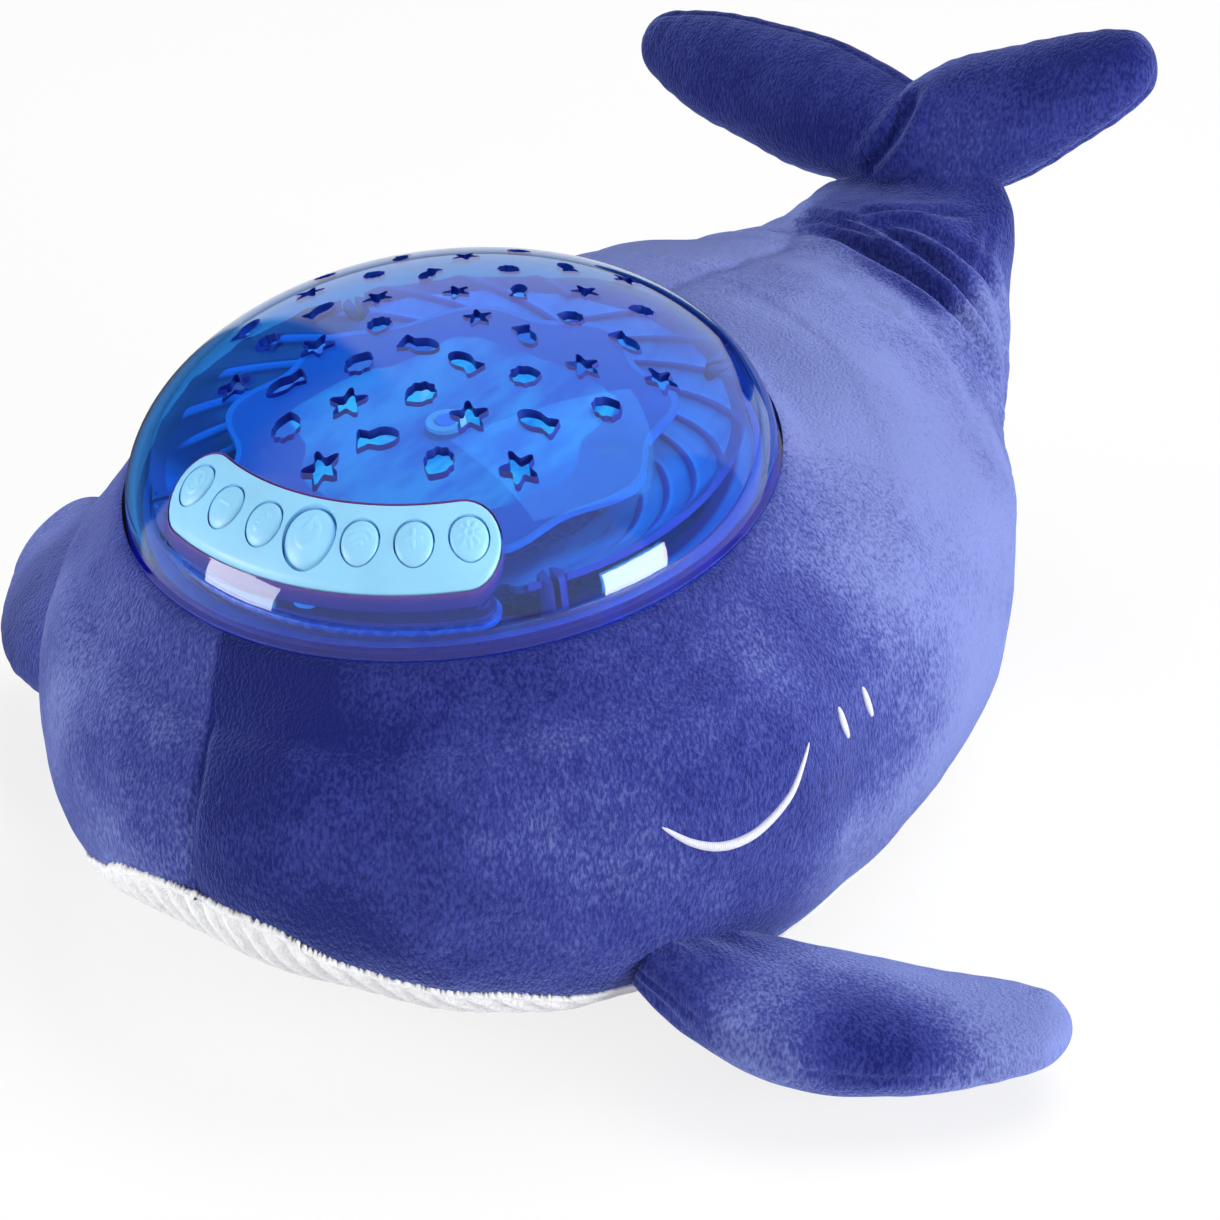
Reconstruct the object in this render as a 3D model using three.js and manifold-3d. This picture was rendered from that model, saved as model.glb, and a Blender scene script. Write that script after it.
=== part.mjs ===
// Plush whale night light, built as a stuffed toy around a plastic light unit.
//
// Row frame: millimetres, +Z up, the head towards -Y, the tail towards +Y and the whale's left side
// towards +X. The origin is on the ground, on the belly's flat resting face, under the middle of the dome.
//
// The light unit is modelled upright in a frame of its own: its z = 0 is the rim plane of the dome, and
// its -Y points at the middle of the keypad. One group then leans and turns it into its pocket.
import * as THREE from 'three';
import { mergeVertices } from 'three/addons/utils/BufferGeometryUtils.js';
import Module from 'manifold-3d';

const library = await Module();
library.setup();

// Gaps between separate pieces
const GAP = 0.3;              // between two rigid pieces that seat on each other
const SOFT_GAP = 0.4;         // between two stuffed pieces
const POCKET_GAP = 0.5;       // between the light unit and the pocket that holds it
const WINDOW_GAP = 0.4;       // round the keypad panel in its window

// Trunk: a rounded egg, given by its reach in each direction from its widest section
const BODY_HALF_WIDTH = 101.8;
const BODY_FRONT = 102.6;
const BODY_BACK = 156;
const BODY_UP = 62.7;
const BODY_DOWN = 58.6;
const BODY_CENTRE_X = 1;
const BODY_CENTRE_Y = 2.9;
const BODY_FRONT_POWER = 1.88;  // 2 is an ellipse; a higher power is blunter
const BODY_BACK_POWER = 2.41;
const BODY_TOP_POWER = 2.45;
const BODY_BOTTOM_POWER = 3;
const FLAT_DEPTH = 0.5;         // how deep the belly is cut flat where it rests
const BODY_ROWS = 20;
const BODY_SIDES = 30;

// Belly: the pale ribbed panel under the seam, and the closure flap in it
const BELLY_SKIN = 4;
const BELLY_RIB_DEPTH = 0.9;
const BELLY_SMOOTH_HALF_WIDTH = 34;  // the middle of the belly has no ribs, where it rests
const BELLY_ROWS = 17;
const BELLY_SIDES = 52;
const SEAM_HEIGHTS = [[-112, 60], [-98, 50], [-90, 40.5], [-80, 33.5], [-65, 28.5], [-45, 24.5],
  [-10, 22], [70, 22], [125, 25], [170, 31]];
const FLAP_SKIN = 2;
const FLAP_HALF_WIDTH = 27;
const FLAP_FRONT_Y = 42;
const FLAP_BACK_Y = 108;
const FLAP_CORNER = 8;

// Tail, flukes and fins: [x, y, z] of the middle line, with half widths and half thicknesses
const TAIL_SPINE = [[2, 88, 70], [3.5, 128, 72], [5.5, 158, 81], [6, 179, 95], [4.5, 190, 109], [0, 195, 122]];
const TAIL_HALF_WIDTHS = [72, 62, 46, 33, 28, 24];
const TAIL_HALF_THICKNESSES = [53, 42.5, 30, 20, 15, 11];
const TAIL_POWER = 2.3;
const TAIL_SEAM = [3, 138, 76];    // a point on the seam between back and tail
const TAIL_SEAM_TILT = 20;         // degrees that the seam's plane leans back from upright
const FLUKE_ROLL = 8;              // degrees, the fluke's right lobe lower than the left one
const FLUKE_LEAN_BACK = 0.45;      // how far the lobes lean back for each unit that they rise
const FLUKE_ROOT = [-3, 195, 116];
const FLUKE_BACK = 3;              // how far the tips lie behind the root
const FLUKE_PLACES = [-0.05, 0.3, 0.65, 0.9, 1];
const FLUKE_HALF_THICKNESSES = [11, 12, 10, 7, 2];
const RIGHT_FLUKE_SPAN = 86;
const RIGHT_FLUKE_HALF_WIDTHS = [11, 18, 15.5, 11, 3];
const RIGHT_FLUKE_RISES = [2, 21.5];
const LEFT_FLUKE_SPAN = 70;
const LEFT_FLUKE_HALF_WIDTHS = [10, 17.5, 15, 10, 3];
const LEFT_FLUKE_RISES = [-3, 27.5];
const FIN_HALF_THICKNESSES = [8, 12, 11, 8, 2];
const LEFT_FIN_HALF_WIDTHS = [12, 20, 20.5, 14.5, 3];
const LEFT_FIN_SPINE = [[80, -38, 32], [106, -30, 21], [130, -16, 16.5], [150, 0, 16], [160, 10, 17]];
const LEFT_FIN_ACROSS = [0.35, -0.83, 0.06];
const RIGHT_FIN_HALF_WIDTHS = [14, 23, 24, 17, 3];
const RIGHT_FIN_SPINE = [[-80, -27, 47], [-104, -14, 43], [-124, 1, 41], [-142, 16, 39], [-151, 24, 39]];
const RIGHT_FIN_ACROSS = [-0.35, -0.45, -0.43];
const LIMB_POWER = 2.15;
const LIMB_ROWS = 10;
const LIMB_SIDES = 12;

// Collar: where the trunk's cloth rises to the dome's rim, as [out from the rim, down from its plane]
const COLLAR_STEPS = [[9.5, 13], [5, 6.3], [2.2, 2.2]];
const COLLAR_DEPTH = 35.2;

// Light unit: where it sits in the toy
const RIM_HEIGHT = 110;         // middle of the rim plane above the ground
const RIM_LEAN = 6.07;          // degrees, forwards
const KEYPAD_TURN = 10.3;       // degrees, the keypad's middle from the whale's nose towards its left

// Dome: a clear shell with a rolled rim, a shallow cap and small cut-outs
const RIM_RADIUS = 75;
const RIM_LIP = 1;              // how far the rim stands out past the cap
const RIM_SEAT_WIDTH = 6.7;
const RIM_INNER_RADIUS = RIM_RADIUS - RIM_SEAT_WIDTH;
const RIM_THICKNESS = 2.2;
const DOME_RADIUS = RIM_RADIUS - RIM_LIP;
const DOME_HEIGHT = 36.8;
const DOME_POWER = 2.08;
const DOME_WALL = 2.2;
const DOME_SIDES = 36;
const DOME_ROWS = 7;
const RING_SIDES = 28;          // facets round the housing, rings and decks
const CUTOUT_COUNT = 44;        // places on the spiral; those in the keypad's way stay closed
const CUTOUT_SPACING = 8;       // each place lies this times the root of its number from the middle
const CUTOUT_FIRST = 0.7;
const CUTOUT_RADIUS = 4.3;
const CUTOUT_EDGE_WIDTH = 17;   // width of the band inside the cap's foot that has no cut-outs
const CUTOUT_EDGE_RADIUS = DOME_RADIUS - CUTOUT_EDGE_WIDTH;
const CUTOUT_CLEAR_ANGLE = 13;  // degrees kept free past each end of the keypad
const GOLDEN_TURN = 137.508;    // degrees from one place on the spiral to the next

// Keypad: a curved panel of one large and six small push buttons
const KEYPAD_INSET = 12.5;      // from the cap's foot in to the middle line of the keypad
const KEY_ARC_RADIUS = DOME_RADIUS - KEYPAD_INSET;
const KEY_PITCH_ANGLE = 10.9;
const KEY_COUNT = 7;
const KEY_RADIUS = 4.1;
const POWER_KEY_RADIUS = 5.8;
const KEY_PROUD = 1.2;          // crown of a button above the dome's surface
const KEY_CROWN_RADIUS = 14;
const KEY_LIP = 0.7;
const KEY_LIP_THICKNESS = 1.2;
const KEY_CLEARANCE = 0.35;     // round each button in its hole
const KEY_TRAVEL = 1;
const KEY_SIDES = 12;
const PANEL_HALF_WIDTH = 7.55;
const PANEL_END_ANGLE = 31.8;   // degrees, where the panel's round ends start
const PANEL_PROUD = 0.4;
const PANEL_FLANGE = 1.4;       // thickness of the flange under the dome's wall
const PANEL_FLANGE_WIDTH = 1.6;
const KEY_BOARD_HEIGHT = 1.4;   // underside of the keypad's board above the rim plane
const KEY_BOARD_HALF_WIDTH = 6;
const BOARD_THICKNESS = 1.6;
const KEY_MAT_THICKNESS = 1;
const KEY_MAT_DOME_HEIGHT = 0.8;
const KEY_MAT_DOME_RADIUS = 2.6;

// Clamp ring: holds the pocket's edge, and carries the posts seen through the dome
const CLAMP_INSET = 4.6;
const CLAMP_RADIUS = RIM_RADIUS - CLAMP_INSET;
const CLAMP_WIDTH = 9.4;
const CLAMP_INNER_RADIUS = CLAMP_RADIUS - CLAMP_WIDTH;
const CLAMP_THICKNESS = 4;
const POST_INSET = 6;           // from the ring's outer edge in to the middle of the posts
const POST_ARC_RADIUS = CLAMP_RADIUS - POST_INSET;
const POST_RADIUS = 3.1;
const POST_HEIGHT = 9.8;
const POST_SLOT = 1.4;
const POST_ANGLE = 47;          // degrees from the keypad's middle
const PEG_RADIUS = 1.5;
const PEG_ANGLE = 24;

// Reflector tray: a bowl with scalloped ribs that rise towards the dome's shoulder
const TRAY_INNER_RADIUS = 41;
const TRAY_INSET = 4;           // from the clamp ring's outer edge in to the tray's
const TRAY_OUTER_RADIUS = CLAMP_RADIUS - TRAY_INSET;
const TRAY_INNER_HEIGHT = -1.8;
const TRAY_RISE = 10.5;
const TRAY_WALL = 1.6;
const TRAY_RIBS = 15;
const TRAY_RIB_HEIGHT = 0.8;
const TRAY_SCALLOP = 1.4;
const TRAY_ROWS = 3;
const TRAY_FOOT_INSET = 3.4;
const TRAY_FOOT_RADIUS = TRAY_OUTER_RADIUS - TRAY_FOOT_INSET;
const TRAY_KEYPAD_ANGLE = 41;   // degrees each side of the keypad's middle where the tray is cut away

// Lower housing: a deep cup with a battery box in its floor
const POD_TOP_RADIUS = CLAMP_RADIUS;
const POD_TAPER = 8.4;
const POD_BASE_RADIUS = POD_TOP_RADIUS - POD_TAPER;
const POD_BASE = -60;
const POD_WALL = 2.5;
const POD_POWER = 4;
const POD_ROWS = 4;
const COLUMN_INSET = 8;         // from the cup's foot radius in to the middle of the screw columns
const COLUMN_ARC_RADIUS = POD_BASE_RADIUS - COLUMN_INSET;
const COLUMN_RADIUS = 4;
const COLUMN_COUNT = 4;
const PILOT_RADIUS = 1.4;
const PILOT_DEPTH = 11;

// Battery box, door and cells
const CELL_RADIUS = 7.1;
const CELL_LENGTH = 49.5;
const CELL_NUB_RADIUS = 2.7;
const CELL_NUB_LENGTH = 1;
const CELL_PITCH = 14.9;
const CELL_COUNT = 3;
const SPRING_SPACE = 7.5;       // room for the contact plates and springs past the cells' ends
const CELL_SIDE_ROOM = 0.9;
const CELL_HEAD_ROOM = 1.6;
const BOX_LENGTH = CELL_LENGTH + CELL_NUB_LENGTH + SPRING_SPACE;
const BOX_WIDTH = CELL_COUNT * CELL_PITCH + CELL_SIDE_ROOM;
const BOX_DEPTH = 2 * CELL_RADIUS + CELL_HEAD_ROOM;
const BOX_WALL = 1.6;
const DOOR_OVERHANG = 4;        // past each end of the box
const DOOR_SIDE_OVERHANG = 7.7; // past each side of the box, where the screw and the tabs are
const DOOR_LENGTH = BOX_LENGTH + 2 * DOOR_OVERHANG;
const DOOR_WIDTH = BOX_WIDTH + 2 * DOOR_SIDE_OVERHANG;
const DOOR_THICKNESS = 2;
const DOOR_LEDGE = 2;
const DOOR_CORNER = 3;
const DOOR_TAB_LENGTH = 8;
const DOOR_TAB_REACH = 2;
const DOOR_TAB_THICKNESS = 1;
const DOOR_TAB_PLACE = 18;
const DOOR_SCREW_INSET = 3.9;   // from the door's front edge
const DOOR_SCREW_Y = DOOR_SCREW_INSET - DOOR_WIDTH / 2;
const DOOR_SCREW_LENGTH = 7;
const SCREW_HEAD_RADIUS = 2.4;
const SCREW_HEAD_HEIGHT = 1.4;
const SCREW_RADIUS = 1.1;
const CONTACT_THICKNESS = 0.5;
const CONTACT_HEIGHT = 12;
const SPRING_WIRE = 0.45;
const SPRING_SMALL_RADIUS = 2.2;
const SPRING_LARGE_RADIUS = 3.8;
const SPRING_TURNS = 3;
const SPRING_STEPS = 6;         // for each turn

// Deck, spindle and wave drive
const DECK_INSET = 1.5;
const DECK_RADIUS = POD_BASE_RADIUS - DECK_INSET;
const DECK_TOP = -10.4;
const DECK_THICKNESS = 2;
const SHOULDER_RADIUS = 5;
const SPINDLE_RADIUS = 2.4;
const SPINDLE_GAP = 0.25;
const SPINDLE_SIDES = 16;
const GEAR_MODULE = 1.5;
const GEAR_TEETH = 32;
const PINION_TEETH = 8;
const GEAR_BACKLASH = 0.15;     // added to the centre distance
const GEAR_THICKNESS = 3;
const GEAR_BOTTOM = -3.7;
const GEAR_HUB_RADIUS = 6;
const LENS_HEIGHT = 9;          // underside of the wave lens above the rim plane
const LENS_KEYPAD_GAP = 12;     // from the keypad's middle line in to the lens's mean edge
const LENS_RADIUS = KEY_ARC_RADIUS - LENS_KEYPAD_GAP;
const LENS_THICKNESS = 2;
const LENS_EDGE_WAVE = 2.4;
const LENS_EDGE_WAVES = 9;
const LENS_RIPPLE = 0.9;
const LENS_SIDES = 27;
const LENS_ROWS = 5;
const CLIP_RADIUS = 4.6;
const CLIP_THICKNESS = 1;
const MOTOR_RADIUS = 10;
const MOTOR_LENGTH = 14;
const MOTOR_BOSS_RADIUS = 3;
const MOTOR_SHAFT_RADIUS = 1;
const LED_BOARD_INSET = 3.5;    // from the lens's mean edge in to the lamp board's
const LED_BOARD_RADIUS = LENS_RADIUS - LED_BOARD_INSET;
const LED_BOARD_HOLE = 8;
const LED_INSET = 8;
const LED_ARC_RADIUS = LED_BOARD_RADIUS - LED_INSET;
const LED_COUNT = 6;
const LED_RADIUS = 2.5;
const LED_HEIGHT = 5.2;
const LED_FLANGE = 0.4;

// Main board and loudspeaker
const MAIN_BOARD_LENGTH = 84;
const MAIN_BOARD_WIDTH = 52;
const STANDOFF_HEIGHT = 3;
const STANDOFF_RADIUS = 2;
const SPEAKER_HEIGHT = 7.5;
const SPEAKER_INSET = 3;        // from the cup's foot radius to the speaker's rim
const SPEAKER_SEAT_GAP = 0.5;   // from the door's seat to the speaker's rim
const DOOR_SEAT_HALF_WIDTH = (DOOR_WIDTH + 3 * DOOR_LEDGE + DOOR_TAB_REACH) / 2;
const SPEAKER_RADIUS = (POD_BASE_RADIUS - SPEAKER_INSET - DOOR_SEAT_HALF_WIDTH - SPEAKER_SEAT_GAP) / 2;
const SPEAKER_Y = POD_BASE_RADIUS - SPEAKER_RADIUS - SPEAKER_INSET;
const SPEAKER_SLOT_PITCH = 3.4;
const SPEAKER_SLOTS = 2 * Math.floor(SPEAKER_RADIUS / SPEAKER_SLOT_PITCH - 1) + 1;
const SPEAKER_SLOT_WIDTH = 1.6;

// Materials
const finish = (color, roughness, metalness = 0, opacity = 1) => new THREE.MeshStandardMaterial({
  color: new THREE.Color(...color), roughness, metalness, opacity, transparent: opacity < 1 });
const blueFur = () => finish([0.24, 0.27, 0.62], 0.95);
const whiteFur = () => finish([0.93, 0.93, 0.91], 0.95);
const clearBlue = () => finish([0.05, 0.16, 0.8], 0.12, 0, 0.55);
const paleBlue = () => finish([0.55, 0.82, 0.96], 0.45);
const violet = () => finish([0.3, 0.2, 0.72], 0.35);
const housingBlue = () => finish([0.14, 0.2, 0.66], 0.45);
const steel = () => finish([0.72, 0.73, 0.75], 0.3, 1);
const boardGreen = () => finish([0.06, 0.32, 0.16], 0.5);
const whitePlastic = () => finish([0.9, 0.9, 0.92], 0.4);
const darkPlastic = () => finish([0.06, 0.06, 0.07], 0.5);
const silicone = () => finish([0.82, 0.84, 0.86], 0.6);
const clearLens = () => finish([0.2, 0.55, 0.95], 0.1, 0, 0.6);
const cellWrap = () => finish([0.16, 0.42, 0.3], 0.35, 0.2);

// Small helpers
const radians = (degrees) => (degrees * Math.PI) / 180;
const clamp01 = (value) => Math.min(Math.max(value, 0), 1);
const smooth = (value) => clamp01(value) ** 2 * (3 - 2 * clamp01(value));
const signedPower = (value, power) => Math.sign(value) * Math.abs(value) ** power;

// A point on a circle round z, with the angle counted from -Y (the keypad's middle) towards +X
function onArc(radius, degrees, z = 0) {
  return new THREE.Vector3(radius * Math.sin(radians(degrees)), -radius * Math.cos(radians(degrees)), z);
}

// Merges shared vertices, drops faces with no area, turns the faces outwards and gives a solid
function solidOf(geometry, matrix = null) {
  const plain = geometry.clone();
  if (matrix) {
    plain.applyMatrix4(matrix);
  }
  plain.deleteAttribute('normal');
  plain.deleteAttribute('uv');
  const merged = mergeVertices(plain, 1e-4);
  const place = merged.getAttribute('position');
  const index = merged.getIndex().array;
  const faces = [];
  const corner = [new THREE.Vector3(), new THREE.Vector3(), new THREE.Vector3()];
  let volume = 0;
  for (let i = 0; i < index.length; i += 3) {
    const [a, b, c] = [index[i], index[i + 1], index[i + 2]];
    if (a !== b && b !== c && c !== a) {
      faces.push([a, b, c]);
      corner[0].fromBufferAttribute(place, a);
      corner[1].fromBufferAttribute(place, b);
      corner[2].fromBufferAttribute(place, c);
      volume += corner[0].dot(corner[1].cross(corner[2]));
    }
  }
  const triVerts = new Uint32Array(faces.flatMap(([a, b, c]) => (volume > 0 ? [a, b, c] : [a, c, b])));
  const vertProperties = new Float32Array(place.array);
  return new library.Manifold(new library.Mesh({ numProp: 3, vertProperties, triVerts }));
}

function geometryOf(solid) {
  const mesh = solid.getMesh();
  const geometry = new THREE.BufferGeometry();
  geometry.setAttribute('position', new THREE.BufferAttribute(Float32Array.from(mesh.vertProperties), 3));
  geometry.setIndex(new THREE.BufferAttribute(Uint32Array.from(mesh.triVerts), 1));
  geometry.computeVertexNormals();
  return geometry;
}

function piece(name, solid, material) {
  const mesh = new THREE.Mesh(geometryOf(solid), material);
  mesh.name = name;
  return mesh;
}

// Revolves a profile of [radius, z] pairs round z
function revolve(profile, sides, matrix = null) {
  const points = profile.map(([radius, z]) => new THREE.Vector2(radius, z));
  const turned = new THREE.LatheGeometry(points, sides);
  turned.rotateX(Math.PI / 2);
  return solidOf(turned, matrix);
}

function cylinder(radius, low, high, x = 0, y = 0, sides = 24) {
  const tube = new THREE.CylinderGeometry(radius, radius, high - low, sides);
  tube.rotateX(Math.PI / 2);
  tube.translate(x, y, (low + high) / 2);
  return solidOf(tube);
}

function block(length, width, low, high, x = 0, y = 0) {
  const box = new THREE.BoxGeometry(length, width, high - low);
  box.translate(x, y, (low + high) / 2);
  return solidOf(box);
}

// Raises a flat shape in X and Y from one height to another
function prism(shape, low, high, curveSegments = 12) {
  const raised = new THREE.ExtrudeGeometry(shape, { depth: high - low, bevelEnabled: false, curveSegments });
  raised.translate(0, 0, low);
  return solidOf(raised);
}

const joined = (solids) => solids.reduce((whole, part) => whole.add(part));
const cut = (solid, tools) => tools.reduce((whole, tool) => whole.subtract(tool), solid);

function roundedRectangle(halfLength, halfWidth, corner, x = 0, y = 0) {
  const shape = new THREE.Shape();
  const [left, right, low, high] = [x - halfLength, x + halfLength, y - halfWidth, y + halfWidth];
  shape.moveTo(left + corner, low);
  shape.lineTo(right - corner, low);
  shape.absarc(right - corner, low + corner, corner, -Math.PI / 2, 0);
  shape.lineTo(right, high - corner);
  shape.absarc(right - corner, high - corner, corner, 0, Math.PI / 2);
  shape.lineTo(left + corner, high);
  shape.absarc(left + corner, high - corner, corner, Math.PI / 2, Math.PI);
  shape.lineTo(left, low + corner);
  shape.absarc(left + corner, low + corner, corner, Math.PI, 1.5 * Math.PI);
  return shape;
}

// Skins a row of rings into a closed body; each end closes on a point
function loft(rings, start, end) {
  const sides = rings[0].length;
  const points = [start, ...rings.flat(), end];
  const faces = [];
  const at = (row, side) => 1 + row * sides + (side % sides);
  const last = points.length - 1;
  for (let side = 0; side < sides; side += 1) {
    faces.push(0, at(0, side + 1), at(0, side));
    faces.push(last, at(rings.length - 1, side), at(rings.length - 1, side + 1));
    for (let row = 0; row + 1 < rings.length; row += 1) {
      faces.push(at(row, side), at(row, side + 1), at(row + 1, side + 1));
      faces.push(at(row, side), at(row + 1, side + 1), at(row + 1, side));
    }
  }
  const geometry = new THREE.BufferGeometry();
  geometry.setAttribute('position', new THREE.Float32BufferAttribute(points.flatMap((p) => p.toArray()), 3));
  geometry.setIndex(faces);
  return solidOf(geometry);
}

// Value of a row of numbers at place 0 to 1 along it, on a smooth curve through them
function along(values, place) {
  const spot = clamp01(place) * (values.length - 1);
  const first = Math.min(Math.floor(spot), values.length - 2);
  const t = spot - first;
  const p = [first - 1, first, first + 1, first + 2]
    .map((i) => values[Math.min(Math.max(i, 0), values.length - 1)]);
  const slopeIn = (p[2] - p[0]) / 2;
  const slopeOut = (p[3] - p[1]) / 2;
  return p[1] + t * slopeIn + t ** 2 * (3 * (p[2] - p[1]) - 2 * slopeIn - slopeOut)
    + t ** 3 * (2 * (p[1] - p[2]) + slopeIn + slopeOut);
}

// Skins a closed loop of sections, each a closed loop itself, into a ring-shaped body
function wheel(sections) {
  const count = sections[0].length;
  const at = (row, side) => (row % sections.length) * count + (side % count);
  const faces = [];
  for (let row = 0; row < sections.length; row += 1) {
    for (let side = 0; side < count; side += 1) {
      faces.push(at(row, side), at(row, side + 1), at(row + 1, side + 1));
      faces.push(at(row, side), at(row + 1, side + 1), at(row + 1, side));
    }
  }
  const geometry = new THREE.BufferGeometry();
  const numbers = sections.flat().flatMap((point) => point.toArray());
  geometry.setAttribute('position', new THREE.Float32BufferAttribute(numbers, 3));
  geometry.setIndex(faces);
  return solidOf(geometry);
}

// Light unit's group, whose matrix also places the pocket in the toy
const lightUnit = new THREE.Group();
lightUnit.position.set(0, 0, RIM_HEIGHT);
lightUnit.rotation.set(radians(RIM_LEAN), 0, radians(KEYPAD_TURN));
lightUnit.updateMatrix();

// Trunk of the toy, grown or shrunk by a distance. Each cross-section is a superellipse whose size
// follows a second superellipse along the body; below, its middle is flat where it rests.
function trunk(grow, rows, sides, ribDepth = 0) {
  const level = BODY_DOWN - FLAT_DEPTH;
  const rings = [];
  for (let row = 1; row < rows; row += 1) {
    const t = -Math.cos((Math.PI * row) / rows);
    const power = t < 0 ? BODY_FRONT_POWER : BODY_BACK_POWER;
    const girth = (1 - Math.abs(t) ** power) ** (1 / power);
    const y = BODY_CENTRE_Y + t * ((t < 0 ? BODY_FRONT : BODY_BACK) + grow);
    const ring = [];
    for (let side = 0; side < sides; side += 1) {
      const turn = (2 * Math.PI * side) / sides;
      const round = 2 / (Math.sin(turn) > 0 ? BODY_TOP_POWER : BODY_BOTTOM_POWER);
      const across = girth * (BODY_HALF_WIDTH + grow) * signedPower(Math.cos(turn), round);
      const reach = (Math.sin(turn) > 0 ? BODY_UP : BODY_DOWN) + grow;
      const up = girth * reach * signedPower(Math.sin(turn), round);
      const beside = smooth((Math.abs(across) - BELLY_SMOOTH_HALF_WIDTH) / BELLY_SMOOTH_HALF_WIDTH);
      const sink = 1 - ((side % 2) * ribDepth * beside * girth) / Math.hypot(across, up);
      ring.push(new THREE.Vector3(BODY_CENTRE_X + across * sink, y, Math.max(level + up * sink, -grow)));
    }
    rings.push(ring);
  }
  const nose = new THREE.Vector3(BODY_CENTRE_X, BODY_CENTRE_Y - BODY_FRONT - grow, level);
  const rump = new THREE.Vector3(BODY_CENTRE_X, BODY_CENTRE_Y + BODY_BACK + grow, level);
  return loft(rings, nose, rump);
}

// Everything below the seam between the blue back and the pale belly, raised by a distance
function belowSeam(raise) {
  const seam = new THREE.SplineCurve(SEAM_HEIGHTS.map(([y, z]) => new THREE.Vector2(y, z + raise)));
  const line = seam.getPoints(3 * (SEAM_HEIGHTS.length - 1));
  const [first, last] = [line[0], line[line.length - 1]];
  const depth = 4 * BODY_HALF_WIDTH;
  const below = -BODY_DOWN;
  const outline = [...line, new THREE.Vector2(last.x, below), new THREE.Vector2(first.x, below)];
  const slab = new THREE.ExtrudeGeometry(new THREE.Shape(outline), { depth, bevelEnabled: false });
  slab.translate(0, 0, -depth / 2);
  const turn = new THREE.Matrix4().makeBasis(
    new THREE.Vector3(0, 1, 0),
    new THREE.Vector3(0, 0, 1),
    new THREE.Vector3(1, 0, 0),
  );
  return solidOf(slab, turn);
}

// Lower housing's outline from its base up to its top edge, moved outwards by a distance
const POD_TOP = -2 * GAP - CLAMP_THICKNESS;

function podOutline(out, base = POD_BASE) {
  const outline = [];
  for (let row = 0; row <= POD_ROWS; row += 1) {
    const turn = (Math.PI / 2) * (1 - row / POD_ROWS);
    const bulge = Math.max(Math.cos(turn), 0) ** (2 / POD_POWER);
    const radius = POD_BASE_RADIUS + out + (POD_TOP_RADIUS - POD_BASE_RADIUS) * bulge;
    outline.push([radius, POD_TOP - (POD_TOP - base) * Math.sin(turn) ** (2 / POD_POWER)]);
  }
  return outline;
}

// Hollow in the toy's back for the light unit, open upwards past the dome's rim
function pocket() {
  const rim = RIM_RADIUS + SOFT_GAP;
  const above = 2 * DOME_HEIGHT;
  const wall = podOutline(POCKET_GAP, POD_BASE - POCKET_GAP);
  const profile = [[0, POD_BASE - POCKET_GAP], ...wall, [POD_TOP_RADIUS + POCKET_GAP, -SOFT_GAP],
    [rim, -SOFT_GAP], [rim, above], [0, above]];
  return revolve(profile, BODY_SIDES, lightUnit.matrix);
}

// Roll of fabric that comes up to the dome's rim all round
function collar() {
  const inner = POD_BASE_RADIUS;
  const steps = COLLAR_STEPS.map(([out, down]) => [RIM_RADIUS + out, -down]);
  const profile = [[inner, -COLLAR_DEPTH], [steps[0][0], -COLLAR_DEPTH], ...steps,
    [RIM_RADIUS, -SOFT_GAP], [inner, -SOFT_GAP], [inner, -COLLAR_DEPTH]];
  return revolve(profile, BODY_SIDES, lightUnit.matrix);
}

// Space behind the seam between back and tail, moved back by a distance
function behindSeam(shift) {
  const size = 4 * BODY_HALF_WIDTH;
  const half = new THREE.BoxGeometry(size, size, size);
  half.translate(0, size / 2 + shift, 0);
  half.rotateX(radians(TAIL_SEAM_TILT));
  half.translate(...TAIL_SEAM);
  return solidOf(half);
}

// Trunk and tail in one, with the hollow over the belly panel taken out
function backAndTail() {
  const inside = trunk(-BELLY_SKIN - SOFT_GAP, BODY_ROWS, BODY_SIDES);
  const roundBelly = trunk(BELLY_RIB_DEPTH + 2 * SOFT_GAP, BODY_ROWS, BODY_SIDES);
  const bellySpace = belowSeam(SOFT_GAP).intersect(roundBelly).subtract(inside);
  return trunk(0, BODY_ROWS, BODY_SIDES).add(tail(0)).subtract(bellySpace);
}

const plushBody = () => cut(backAndTail().add(collar()), [behindSeam(-SOFT_GAP), pocket()]);
const tailStock = () => backAndTail().intersect(behindSeam(0));

function flapOutline(grow) {
  const halfWidth = (FLAP_BACK_Y - FLAP_FRONT_Y) / 2 + grow;
  const middle = (FLAP_BACK_Y + FLAP_FRONT_Y) / 2;
  const shape = roundedRectangle(FLAP_HALF_WIDTH + grow, halfWidth, FLAP_CORNER + grow, BODY_CENTRE_X, middle);
  return prism(shape, -BODY_DOWN, BODY_DOWN, 3);
}

function bellyPanel() {
  const outer = trunk(0, BELLY_ROWS, BELLY_SIDES, BELLY_RIB_DEPTH).intersect(belowSeam(0));
  const flapSpace = flapOutline(SOFT_GAP).subtract(trunk(-FLAP_SKIN - SOFT_GAP, BELLY_ROWS, BODY_SIDES));
  return cut(outer, [trunk(-BELLY_SKIN, BODY_ROWS, BODY_SIDES), flapSpace]);
}

function bellyFlap() {
  const outer = trunk(0, BELLY_ROWS, BELLY_SIDES).intersect(flapOutline(0)).intersect(belowSeam(0));
  return outer.subtract(trunk(-FLAP_SKIN, BELLY_ROWS, BODY_SIDES));
}

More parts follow.
